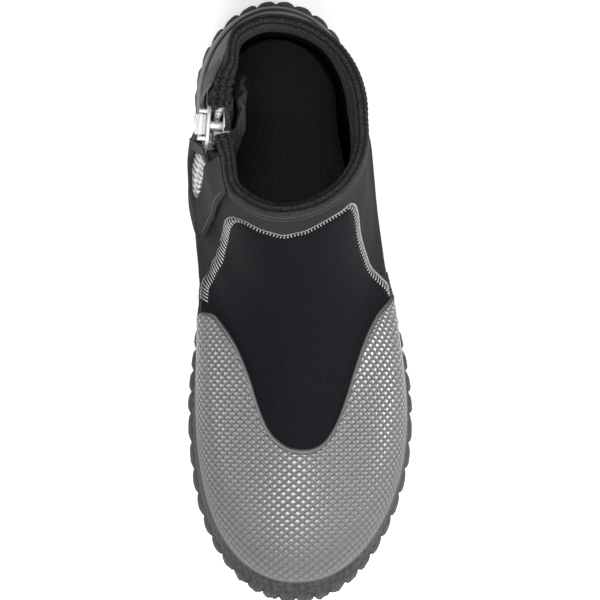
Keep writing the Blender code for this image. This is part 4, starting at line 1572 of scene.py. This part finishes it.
@dataclass
class Insole:
    """Footbed that lies on the sole's floor: a dished top with a rolled edge.

    A step is the share of the way out from the middle line, and the height.
    """

    last: Last
    inset: float = 6.4
    columns: int = 200
    steps: Table = (
        (0.05, 0.0), (0.99, 0.0), (1.0, 0.6), (1.0, 3.4), (0.99, 3.9), (0.97, 4.0), (0.9, 3.9), (0.8, 3.7),
        (0.65, 3.5), (0.5, 3.4), (0.35, 3.3), (0.2, 3.3), (0.05, 3.3),
    )

    def build(self) -> None:
        """Makes the footbed: underside, rolled edge and dished top, as rings out from the middle and back."""
        lap = np.arange(self.columns) / self.columns
        edge = self.last.offset(lap, np.full(self.columns, 0.01), -self.inset)
        floor = self.last.point(lap, np.zeros(self.columns))[:, 2] + 0.15
        stop = np.clip(edge[:, 1], -90.0, 95.0)
        middle = np.stack([self.last.centreline(stop), stop], -1)
        rows = []
        for share, rise in self.steps:
            plan = middle + (edge[:, :2] - middle) * share
            rows.append(np.concatenate([plan, (floor + rise)[:, None]], 1))
        bed = Solid()
        index = bed.grid(np.stack(rows), wrap=True)
        bed.bridge(index[0], -1)
        bed.bridge(index[-1], 1)
        self.bed = bed.build("footbed")

    def dress(self) -> None:
        """Gives the footbed its cloth."""
        fit(self.bed, [Footbed().material()], ("insole",))


@dataclass
class CollarBinding:
    """Tape folded over the collar edge, from the zip's toe edge to its heel edge, with two stitch rows."""

    last: Last
    zip_line: ZipLine
    wall: float = 2.8
    lining: float = 5.0
    thick: float = 1.2
    drop: float = 9.0
    columns: int = 420
    ends: Pair = (82.5, 70.5)
    rows_at: Pair = (3.4, 7.2)
    stitch: float = 2.3
    thread: float = 0.24
    shaft: float = 140.0
    sharp_over: float = 60.0

    def laps(self, count: int) -> Array:
        """Ways round from the end over the zip's toe edge, past toe and heel, to that over its heel edge."""
        heel, toe = self.last.lap_at(np.array(self.ends), np.ones(2), Side.INNER)
        return np.linspace(toe, 1.0 + heel, count)

    def loose(self, lap: Array) -> Array:
        """Share from 0 where the tape is sewn on to 1 at its loose ends over the zip."""
        heel, toe = self.zip_line.edge_laps(np.array([1.0]))
        return np.maximum(smooth((toe[0] - lap) / 0.02), smooth((lap - 1.0 - heel[0]) / 0.025))

    def build(self) -> None:
        """Carries the fold's section along the collar: outer leg, half round, inner leg, and back inside."""
        lap = self.laps(self.columns)
        top = np.ones(lap.shape)
        rise = unit(self.last.point(lap, top) - self.last.point(lap, top - 0.01))
        out = GAP + self.thick
        lined = -self.wall - GAP
        deep = lined - self.thick
        middle = 0.5 * (out + deep)
        wide = 0.5 * (out - deep)
        section: list[Triple] = []
        for down in np.linspace(self.drop, 0.0, 14):
            groove = sum(0.3 * bell(down - at, 0.5) for at in self.rows_at)
            section.append((down, out - groove - 0.5 * bell(down - self.drop, 0.8), 0.0))
        for turn in np.linspace(0.0, math.pi, 13)[1:-1]:
            section.append((0.0, middle + wide * math.cos(turn), 2.2 * math.sin(turn)))
        section += [(down, deep, 0.0) for down in np.linspace(0.0, self.drop, 8)]
        section += [(self.drop, lined, 0.0), (0.0, lined, GAP), (0.0, GAP, GAP), (self.drop, GAP, 0.0)]
        loose = self.loose(lap)
        short = (1.0 - 0.62 * loose) / self.shaft
        crumple = loose * (0.5 * np.sin(310.0 * lap) + 0.35 * np.sin(740.0 * lap + 1.0))
        deeper = 1.7 * soft_box(np.mod(lap, 1.0), 0.12, 0.40, 0.08)
        rows = []
        for down, depth, lift in section:
            inside = depth <= -self.wall
            level = top - down * short * (1.0 + (deeper if inside else 0.0))
            swell = (self.lining - self.wall) * smooth((1.0 - level) / 0.12) if inside else 0.0
            flare = depth - swell + loose * 0.25 * (depth - middle)
            drawn = self.zip_line.pull(lap, self.last.point(lap, level)[:, 2])
            row = self.last.offset(lap, level, flare + crumple - drawn)
            rows.append(row + rise * (lift + 0.4 * crumple)[:, None])
        points = np.stack(rows[::-1], 1)
        tape = Solid()
        tape.lofts(points[None], along=run_length(points[:, 20])[None, :, None],
                   across=run_length(points[40])[None, None])
        self.tape = tape.build("collar_tape", self.sharp_over)
        self.stitches = self.build_stitches()

    def build_stitches(self) -> Piece:
        """Two rows of lock stitches: short arched threads end to end in the tape's grooves.

        Returns:
            The object.
        """
        threads = Solid()
        lap = self.laps(2400)
        for down in self.rows_at:
            level = 1.0 - down / self.shaft
            t = np.full(lap.shape, level)
            drawn = self.zip_line.pull(lap, self.last.point(lap, t)[:, 2])
            run = run_length(self.last.offset(lap, t, GAP + self.thick - drawn))
            start = np.arange(2.0, run[-1] - 3.0, self.stitch)
            share = np.linspace(0.06, 0.94, 6)
            at = np.interp(start[:, None] + share * self.stitch, run, lap)
            at = at[self.loose(at).max(1) < 0.05]
            arch = 0.02 - 0.36 * (2.0 * share - 1.0) ** 4
            t = np.full(at.shape, level)
            drawn = self.zip_line.pull(at, self.last.point(at, t)[..., 2])
            paths = self.last.offset(at, t, GAP + self.thick + arch - drawn)
            threads.tubes(paths, self.last.normal(at, t), self.thread, 5, shine=0.6)
        return threads.build("collar_stitches")

    def dress(self) -> None:
        """Gives the tape its weave and the stitches their thread."""
        woven = Woven("binding_weave", (0.004, 0.0036, 0.004), (0.036, 0.033, 0.035), 1.0, 1.3, 0.25,
                      ridge=2.6, fleck=(0.056, 0.051, 0.054))
        fit(self.tape, [woven.material()], ("collar_binding",))
        thread = Thread("binding_thread", (0.020, 0.019, 0.020), (0.048, 0.045, 0.047))
        fit(self.stitches, [thread.material()])


@dataclass
class ZipFabric:
    """Cloth of the zip: tapes, stitched strips beside it, folded gusset behind it and the keeper band."""

    last: Last
    zip_line: ZipLine
    wall: float = 5.0
    tape_thick: float = 0.9
    strip_thick: float = 1.3
    gusset_thick: float = 1.7
    gusset_flat: Pair = (0.073, 0.097)
    gusset_area: float = 0.0040
    keeper_thick: float = 1.0
    strip_gap: float = 4.0 * GAP
    stitch_in: float = 1.9
    stitch: float = 2.4
    thread: float = 0.22
    sharp_over: float = 55.0
    front: Table = (
        (71.0, 20.5), (80.0, 27.0), (87.0, 31.0), (95.0, 35.8), (110.0, 40.6), (128.0, 45.0), (140.0, 47.6),
    )
    lip: Table = (
        (81.0, 30.0), (82.0, 36.5), (84.0, 43.0), (86.0, 46.8), (88.0, 47.6), (90.0, 47.6), (97.0, 50.5),
        (105.0, 55.0), (120.0, 59.5), (135.0, 61.0), (147.0, 61.5),
    )
    strip_width: Table = ((76.0, 1.0), (84.0, 9.0), (140.0, 11.0))
    bag: Table = ((72.0, 1.5), (88.0, 2.5), (104.0, 7.5), (148.0, 8.5))

    def sheet(self, name: str, y: Array, z: Array, depth: Array, thick: Array | float) -> Piece:
        """Closed sheet through stations, heights and depths, rounded towards its long edges.

        Args:
            name: The object's name.
            y: Stations, rows along the zip by columns across it, from the heel side to the toe side.
            z: Heights.
            depth: Depth of the sheet's middle off the upper's face.
            thick: Thickness.

        Returns:
            The object.
        """
        outer, _ = self.zip_line.strip(y, z, depth + 0.5 * thick)
        inner, _ = self.zip_line.strip(y, z, depth - 0.5 * thick)
        cloth = Solid()
        cloth.shell(outer, inner, along=run_length(outer), across=run_length(outer, 1))
        return cloth.build(name, self.sharp_over)

    def build_tapes(self) -> None:
        """The two tapes, each from its edge of the opening to the root of its teeth."""
        z = np.linspace(self.zip_line.foot + 8.5, self.zip_line.head, 110)[:, None]
        heel, toe, depth = self.zip_line.at(z)
        reach = self.zip_line.reach(heel, toe) + 0.8
        share = np.linspace(0.0, 1.0, 7)
        rib = 0.12 * np.cos(6.0 * math.pi * share)
        level = np.broadcast_to(z, (110, 7))
        made = []
        for name, y in (("zip_tape_heel_cloth", heel - 0.2 - reach * share),
                        ("zip_tape_toe_cloth", toe + 0.2 + reach * (1.0 - share))):
            lie = self.zip_line.tilt((2.0 * y - heel - toe) / (heel - toe), z)
            lie = lie - self.zip_line.pulled(z) - 0.8 * self.zip_line.gape(z)
            made.append(self.sheet(name, y, level, depth + rib + lie, self.tape_thick))
        self.tape_heel, self.tape_toe = made

    def build_strips(self) -> None:
        """Strips beside the zip: their lips part as a lens over the teeth and close over the zip's foot."""
        z = np.linspace(self.zip_line.foot + 6.5, self.zip_line.head - 9.5, 130)[:, None]
        heel, toe, _ = self.zip_line.at(z)
        share = np.linspace(0.0, 1.0, 26)
        hem = 0.7 * bell(share - 0.94, 0.05) + 0.35 * bell(share - 0.04, 0.05)
        hem = hem - 0.3 * bell(share - 0.84, 0.035)
        rounded = self.strip_thick * (0.35 + 0.65 * np.sin(math.pi * np.clip(share, 0.02, 0.98)) ** 0.35)
        ground = self.strip_gap + 0.5 * self.strip_thick
        width = read(self.strip_width, z)
        lip = toe - 1.5 + (heel + 1.2 - toe) * smooth((z - 83.5) / 8.0)
        y = heel + width + (lip - heel - width) * share
        over = smooth((heel + 1.0 - y) / 3.0) * (1.0 - smooth((z - 88.0) / 6.0))
        push = np.maximum(self.zip_line.swell(np.maximum(y, heel), z), 0.5 * over)
        level = np.broadcast_to(z, y.shape)
        push = push - self.zip_line.pull(self.last.inner_side(y, level)[0], level)
        depth = ground + hem * smooth((z - 80.0) / 10.0) + push
        self.strip_heel = self.sheet("strip_heel_cloth", y, level, depth, rounded)
        z_toe = np.linspace(self.lip[0][0], self.zip_line.head - 1.5, 150)[:, None]
        back = read(self.lip, z_toe)
        y = back + (read(self.front, z_toe) - back) * share
        level = np.broadcast_to(z_toe, y.shape)
        drawn = self.zip_line.pull(self.last.inner_side(y, level)[0], level)
        lift = 0.9 * smooth((y - self.zip_line.at(z_toe)[1] + 1.0) / 2.0) * self.zip_line.gape(z_toe)
        self.strip_toe = self.sheet("strip_toe_cloth", y, level, ground + hem + lift - drawn, rounded)
        hems = ((read(self.front, z) + self.stitch_in, 84.5), (heel + width - self.stitch_in, 87.0))
        self.strip_stitches = self.build_hems(z[:, 0], hems)

    def build_hems(self, z: Array, hems: tuple[tuple[Array, float], ...]) -> Piece:
        """Stitches along the strips' sewn edges: threads whose ends dip as the fourth power of the way out.

        Args:
            z: Heights.
            hems: Each row's stations at the heights, and the height where it starts.

        Returns:
            The object.
        """
        threads = Solid()
        share = np.linspace(0.08, 0.92, 5)
        dip = (0.5 * (2.0 * share - 1.0) ** 4)[:, None]
        for stations, first in hems:
            at = np.linspace(first, self.zip_line.head - 11.0, 900)
            y = np.interp(at, z, stations[:, 0])
            drawn = self.zip_line.pull(self.last.inner_side(y, at)[0], at)
            line, out = self.zip_line.strip(y, at, self.strip_gap + self.strip_thick + 0.2 - drawn)
            run = run_length(line)
            want = np.arange(1.0, run[-1] - 3.0, self.stitch)[:, None] + self.stitch * share
            paths = np.stack([np.interp(want, run, column) for column in line.T], -1)
            ups = np.stack([np.interp(want, run, column) for column in out.T], -1)
            threads.tubes(paths - ups * dip, ups, self.thread, 5, shine=0.6)
        return threads.build("strip_stitches")

    def build_gusset(self) -> None:
        """Bellows behind the zip: one ply from the heel edge to the toe edge, a turn, and a ply back."""
        z = np.linspace(self.zip_line.foot + 3.0, self.zip_line.head - 0.5, 70)[:, None]
        heel, toe, _ = self.zip_line.at(z)
        u = np.linspace(0.0, 1.0, 120)
        there = np.clip(np.where(u < 0.5, u / 0.46, (1.0 - u) / 0.46), 0.0, 1.0)
        high = smooth((z - 122.0) / 24.0)
        share = -0.26 + 0.24 * high + (1.45 - 0.70 * high) * there
        bag = read(self.bag, z)
        back = smooth((u - 0.44) / 0.12)
        fold = 1.1 * np.sin(5.0 * math.pi * there + 2.2 * back) * smooth((z - 100.0) / 35.0)
        hang = np.sin(math.pi * there) ** 0.6
        clear = 2.0 * GAP + (1.2 + GAP) * smooth((z - 128.0) / 8.0)
        depth = -self.wall - clear - 0.5 * self.gusset_thick - bag * (0.30 * hang + 0.70 * back) - fold * hang
        y = heel + (toe - heel) * share + 2.0 * back * smooth((z - 110.0) / 30.0)
        level = z - (2.5 * back + 9.0 * (1.0 - hang)) * high
        self.gusset = self.sheet("gusset_bellows", y, level, depth, self.gusset_thick)

    def build_keeper(self) -> None:
        """Band across the zip below the slider, with raised selvedges."""
        along = np.linspace(0.0, 1.0, 60)[:, None]
        share = np.linspace(-1.0, 1.0, 9)
        y = 72.0 - 9.0 * along - 5.0 * smooth((along - 0.72) / 0.28) - 2.0 * share
        z = 93.0 + 37.0 * along - 0.75 * share
        depth = 3.9 - 3.25 * along + 0.18 * bell(np.abs(share) - 0.9, 0.15) - self.zip_line.pulled(z)
        self.keeper = self.sheet("keeper_band", y[:, ::-1], z[:, ::-1], depth, self.keeper_thick)

    def build(self) -> None:
        """Makes every piece of cloth."""
        self.build_tapes()
        self.build_strips()
        self.build_gusset()
        self.build_keeper()

    def dress(self) -> None:
        """Gives the cloth its weaves."""
        tape = Woven("zip_tape_weave", (0.008, 0.007, 0.008), (0.03, 0.027, 0.03), 0.9, 0.9).material()
        # The heel strip's pale upper end is painted light.
        heel = Woven("heel_strip_weave", (0.017, 0.015, 0.016), (0.052, 0.047, 0.049), 0.9, 0.9,
                     pale=(0.135, 0.124, 0.116), fade=(38.0, 66.0)).material()
        toe = Woven("toe_strip_weave", (0.012, 0.0105, 0.012), (0.034, 0.031, 0.0335), 0.9, 0.9).material()
        soft = Woven("gusset_weave", (0.016, 0.015, 0.016), (0.05, 0.046, 0.049), 1.1, 1.1).material()
        band = Woven("keeper_weave", (0.030, 0.027, 0.027), (0.085, 0.078, 0.077), 0.9, 0.8).material()
        thread = Thread("strip_thread", (0.05, 0.046, 0.05), (0.10, 0.094, 0.098)).material()
        fit(self.tape_heel, [tape], ("zip_tape_heel",))
        fit(self.tape_toe, [tape], ("zip_tape_toe",))
        fit(self.strip_heel, [heel], ("placket_heel",))
        fit(self.strip_toe, [toe], ("placket_toe",))
        fit(self.strip_stitches, [thread])
        fit(self.gusset, [soft], ("zip_gusset",))
        fit(self.keeper, [band], ("zip_keeper",))


@dataclass
class ZipHardware:
    """Hard pieces of the zip: the two rows of teeth, the slider and its pull tab."""

    last: Last
    zip_line: ZipLine
    pitch: float = 2.9
    tooth_reach: float = 4.1
    slider_at: Pair = (77.6, 120.0)
    slider_depth: float = -4.6
    slider_size: Triple = (19.0, 1.7, 22.0)
    throat: float = 5.4
    pull_size: Triple = (9.0, 2.2, 17.0)
    pull_hole: float = 1.45
    cheek_over: float = 1.1
    pin: float = 0.88

    def build_teeth(self) -> None:
        """Each tooth is a neck that widens to a head: rounded sections from its root to its tip."""
        made = []
        round_box = squared_round((np.arange(8) + 0.5) * math.pi / 4.0, 0.5)
        stations = np.array([0.0, 0.3, 0.5, 0.72, 0.92, 1.0])
        wide = np.array([0.95, 0.85, 0.88, 0.98, 0.92, 0.6])
        tall = np.array([1.25, 1.35, 1.45, 1.5, 1.3, 0.8])
        fine = np.linspace(self.zip_line.foot + 13.5, self.zip_line.head - 9.0, 600)
        heel, toe, _ = self.zip_line.at(fine)
        line = 0.5 * (heel + toe)
        run = run_length(np.stack([line, fine], -1))
        for name, shift, side in (("teeth_heel", 0.0, 1.0), ("teeth_toe", 0.5, -1.0)):
            z = np.interp(np.arange(shift * self.pitch, run[-1], self.pitch), run, fine)
            heel, toe, depth = self.zip_line.at(z)
            way_y, way_z = np.gradient(np.interp(z, fine, line)), np.gradient(z)
            size = np.hypot(way_y, way_z)
            way_y, way_z = way_y / size, way_z / size
            half = 0.5 * (heel - toe) * way_z
            gape = self.zip_line.gape(z)
            shut = np.maximum(half - self.zip_line.reach(heel, toe) - 0.3, 4.0)
            root = shut * (1.0 - gape) + (half - 0.5) * gape
            tip = (root - self.tooth_reach) * (1.0 - gape) - 0.7 * gape
            ends = []
            for far in (root, tip):
                lie = depth + self.zip_line.tilt(side * far / half, z) - self.zip_line.pulled(z)
                y = 0.5 * (heel + toe) + side * far * way_z
                ends.append(self.zip_line.strip(y, z - side * far * way_y, lie))
            (root_at, normal), (tip_at, _) = ends
            out = unit(tip_at - root_at)
            along = unit(np.cross(out, normal))
            up = np.cross(along, out)
            spine = root_at[:, None] + (tip_at - root_at)[:, None] * stations[:, None]
            ring = (along[:, None, None] * (round_box[:, :1] * wide[:, None, None])
                    + up[:, None, None] * (round_box[:, 1:] * tall[:, None, None]))
            teeth = Solid()
            teeth.lofts((spine[:, :, None] + ring)[:, :, ::-1])
            made.append(teeth.build(name))
        self.teeth_heel, self.teeth_toe = made

    def frame(self) -> tuple[Array, Array]:
        """Place of the slider on the upper.

        Returns:
            Its middle, and its directions towards the heel, outwards, and up along the zip.
        """
        lap, t = self.last.inner_side(*self.slider_at)
        outward = self.last.normal(lap, t)
        across = unit(np.cross(outward, np.array([0.0, 0.0, 1.0])))
        axes = np.stack([across, outward, np.cross(across, outward)])
        return self.last.offset(lap, t, self.slider_depth), axes

    def pin_at(self) -> Pair:
        """Distance outwards and height of the pull's pin from the slider's middle."""
        return 0.5 * self.throat + self.slider_size[1] + 2.6, 0.5 * self.slider_size[2] - 4.0

    def slab(self, outline: Array, low: float, high: float, round_off: float) -> Array:
        """Sections of a plate between two levels, with the outline drawn in as a quarter circle at its edges.

        Args:
            outline: Closed outline in across and up, clockwise seen from outside.
            low: Inner level.
            high: Outer level.
            round_off: Radius of the rounded edges.

        Returns:
            Sections by points, in across, out and up.
        """
        way = np.roll(outline, -1, 0) - np.roll(outline, 1, 0)
        inwards = unit(np.stack([way[:, 1], -way[:, 0]], -1))
        turn = np.linspace(0.0, QUARTER, 5)
        draw = (1.0 - np.sin(turn)) * round_off
        rise = (1.0 - np.cos(turn)) * round_off
        level = np.concatenate([low + rise, (high - rise)[::-1]])
        plan = outline + inwards * np.concatenate([draw, draw[::-1]])[:, None, None]
        return np.stack([plan[..., 0], np.broadcast_to(level[:, None], plan.shape[:2]), plan[..., 1]], -1)

    @staticmethod
    def rounded(half: Pair, centre: Pair, power: float, taper: float = 1.0) -> Array:
        """Rounded rectangle as a superellipse, clockwise seen from outside.

        Args:
            half: Half its width and half its height.
            centre: Its middle.
            power: Power of the superellipse, squarer when smaller.
            taper: Share of the width that is left at its foot.

        Returns:
            Points in across and up.
        """
        x, z = squared_round(-ROUND * np.arange(40) / 40, power).T
        narrow = 1.0 + (taper - 1.0) * 0.5 * (1.0 - z)
        return np.stack([centre[0] + half[0] * x * narrow, centre[1] + half[1] * z], -1)

    def add_slab(self, solid: Solid, outline: Array, low: float, high: float, round_off: float) -> None:
        """Places a slab in the slider's frame and adds it."""
        centre, axes = self.frame()
        solid.lofts((centre + self.slab(outline, low, high, round_off) @ axes)[None])

    def build_slider(self) -> None:
        """Two tapered plates with lips, the diamond between them, the bail's cheeks and its pin."""
        wide, thick, tall = self.slider_size
        inner = 0.5 * self.throat
        body = Solid()
        plate = self.rounded((0.5 * wide, 0.5 * tall), (0.0, 0.0), 0.42, 0.74)
        self.add_slab(body, plate, inner, inner + thick, 0.45)
        self.add_slab(body, plate, -inner - thick, -inner, 0.45)
        diamond = self.rounded((2.4, 3.4), (0.0, 0.5 * tall - 3.6), 0.8, 0.35)
        self.add_slab(body, diamond, -inner - 0.4, inner + 0.4, 0.2)
        crown = self.rounded((3.2, 6.2), (0.0, 1.6), 0.6, 0.8)
        self.add_slab(body, crown, inner + thick - 0.2, inner + thick + 0.9, 0.5)
        out, height = self.pin_at()
        for side in (-1.0, 1.0):
            lip = self.rounded((0.55, 6.2), (side * (0.40 * wide - 0.5), -2.4), 0.6)
            lip[:, 0] -= side * 0.075 * (lip[:, 1].max() - lip[:, 1])
            self.add_slab(body, lip, inner - 1.0, inner + 0.3, 0.25)
            self.add_slab(body, lip, -inner - 0.3, 1.0 - inner, 0.25)
            cheek = self.rounded((1.0, 2.3), (side * 6.0, height), 0.55)
            self.add_slab(body, cheek, inner + thick - 0.3, out + self.cheek_over, 0.45)
        centre, axes = self.frame()
        pin = np.stack([np.linspace(-6.2, 6.2, 12), np.full(12, out), np.full(12, height)], -1)
        body.tubes((centre + pin @ axes)[None], axes[2], self.pin, 14)
        self.slider = body.build("slider_body", 45.0)

    def build_pull(self) -> None:
        """Pull tab: an eye round the pin, and a waisted tab with a raised frame round a hollow middle."""
        wide, thick, tall = self.pull_size
        out, height = self.pin_at()
        centre, axes = self.frame()
        tab = Solid()
        turn = ROUND * np.arange(28) / 28
        hole = self.pull_hole
        eye = np.array([[-0.5, hole + 0.15], [-0.5, hole + 0.95], [-0.35, hole + 1.1],
                        [0.35, hole + 1.1], [0.5, hole + 0.95], [0.5, hole + 0.15]])
        x = eye[:, 0] * (wide - 0.2)
        ring = np.stack([np.broadcast_to(x, (28, 6)), out + np.cos(turn)[:, None] * eye[:, 1],
                         height + np.sin(turn)[:, None] * eye[:, 1]], -1)
        index = tab.block(centre + ring @ axes, {})
        after, beside = np.roll(index, -1, 0), np.roll(index, -1, 1)
        tab.skin(np.stack([index, beside, np.roll(after, -1, 1), after], -1))
        z = np.linspace(height - hole - 0.5, height - tall, 30)
        share = np.linspace(0.0, 1.0, 30)
        half = 0.5 * wide * (1.0 - 0.22 * np.sin(math.pi * share) ** 2)
        half = half * np.sqrt(np.clip(1.0 - share**14, 0.02, 1.0))
        u = np.linspace(-1.0, 1.0, 17)
        ends = bell(share - 0.93, 0.05)[:, None] + bell(share - 0.12, 0.06)[:, None]
        frame_rib = 0.55 * np.maximum(bell(np.abs(u) - 0.82, 0.13)[None], ends)
        rounded = np.sqrt(np.clip(1.0 - np.abs(u) ** 8, 0.0, 1.0))
        face = (0.32 * thick + frame_rib) * rounded
        across = half[:, None] * u
        level = np.broadcast_to(z[:, None], across.shape)
        front = np.stack([across, out + 0.4 + face, level], -1)
        rear = np.stack([across, out + 0.4 - face - 0.05, level], -1)
        tab.shell(centre + front[:, ::-1] @ axes, centre + rear[:, ::-1] @ axes)
        self.pull = tab.build("pull_tab_shell", 50.0)

    def build(self) -> None:
        """Makes the hard pieces."""
        self.build_teeth()
        self.build_slider()
        self.build_pull()

    def dress(self) -> None:
        """Gives the hard pieces their plastic."""
        silver = Plastic("silver_plastic", (0.62, 0.64, 0.64), (0.42, 0.43, 0.43)).material()
        white = Plastic("pale_plastic", (0.80, 0.80, 0.78), (0.60, 0.60, 0.58), 0.34).material()
        fit(self.teeth_heel, [silver], ("zip_teeth_heel",))
        fit(self.teeth_toe, [silver], ("zip_teeth_toe",))
        fit(self.slider, [silver], ("zip_slider",))
        fit(self.pull, [white], ("zip_pull",), Body.PULL)


@dataclass
class Studio:
    """Pale floor, soft light and a camera straight above the boot."""

    floor: float = 12.0
    floor_glow: float = 0.36
    sky: float = 0.16
    camera_height: float = 1.0
    lens: float = 118.2
    aim: Triple = (0.0, 0.0, 0.05)
    lamps: tuple[tuple[Triple, float, float], ...] = (
        ((-1.02, -0.36, 0.66), 0.36, 4.1),
        ((1.04, -0.34, 0.58), 0.42, 10.6),
        ((-0.06, -0.62, 1.12), 0.66, 14.3),
        ((0.0, 0.12, 1.80), 0.40, 7.5),
    )

    def build(self) -> None:
        """Makes floor, lamps and camera."""
        half = 0.5 * self.floor
        plane = bpy.data.meshes.new("floor")
        corners = [(-half, -half, 0.0), (half, -half, 0.0), (half, half, 0.0), (-half, half, 0.0)]
        plane.from_pydata(corners, [], [(0, 1, 2, 3)])
        self.ground = link("floor", plane)
        for number, (spot, size, power) in enumerate(self.lamps):
            data = bpy.data.lights.new(f"softbox_{number}", "AREA")
            data.size = size
            data.energy = power
            lamp = link(data.name, data)
            lamp.location = spot
            x, y, z = np.array(self.aim) - np.array(spot)
            lamp.rotation_euler = (math.atan2(math.hypot(x, y), -z), 0.0, math.atan2(-x, y))
        lens = bpy.data.cameras.new("camera")
        lens.sensor_width = 36.0
        lens.lens = self.lens
        camera = link("camera", lens)
        camera.location = (0.0, 0.0, self.camera_height)
        bpy.context.scene.camera = camera
        bpy.context.scene.view_settings.view_transform = "Standard"

    def dress(self) -> None:
        """Gives the floor its paint and the sky its even light."""
        nodes = Nodes("floor_paint")
        base = nodes.mix(nodes.noise(400.0, 1.0), (0.88, 0.88, 0.88), (0.9, 0.9, 0.9))
        paint = nodes.finish({"Base Color": base, "Roughness": 0.9, "Emission Strength": self.floor_glow,
                              "Emission Color": (1.0, 1.0, 1.0, 1.0)})
        self.ground.data.materials.append(paint)
        world = bpy.data.worlds.new("studio_sky")
        world.use_nodes = True
        sky = world.node_tree.nodes["Background"]
        sky.inputs["Color"].default_value = (1.0, 1.0, 1.0, 1.0)
        sky.inputs["Strength"].default_value = self.sky
        bpy.context.scene.world = world


def main() -> None:
    """Builds the sub-assemblies in order and reports them."""
    logging.basicConfig(level=logging.INFO, format="%(name)s %(message)s")
    last = Last()
    zip_line = ZipLine(last)
    assemblies = (
        Studio(),
        Bootie(last, zip_line),
        RubberSkins(last, zip_line),
        Outsole(last),
        Insole(last),
        CollarBinding(last, zip_line),
        ZipFabric(last, zip_line),
        ZipHardware(last, zip_line),
    )
    for assembly in assemblies:
        assembly.build()
        assembly.dress()
        LOG.info("%s done", type(assembly).__name__)


if __name__ == "__main__":
    main()
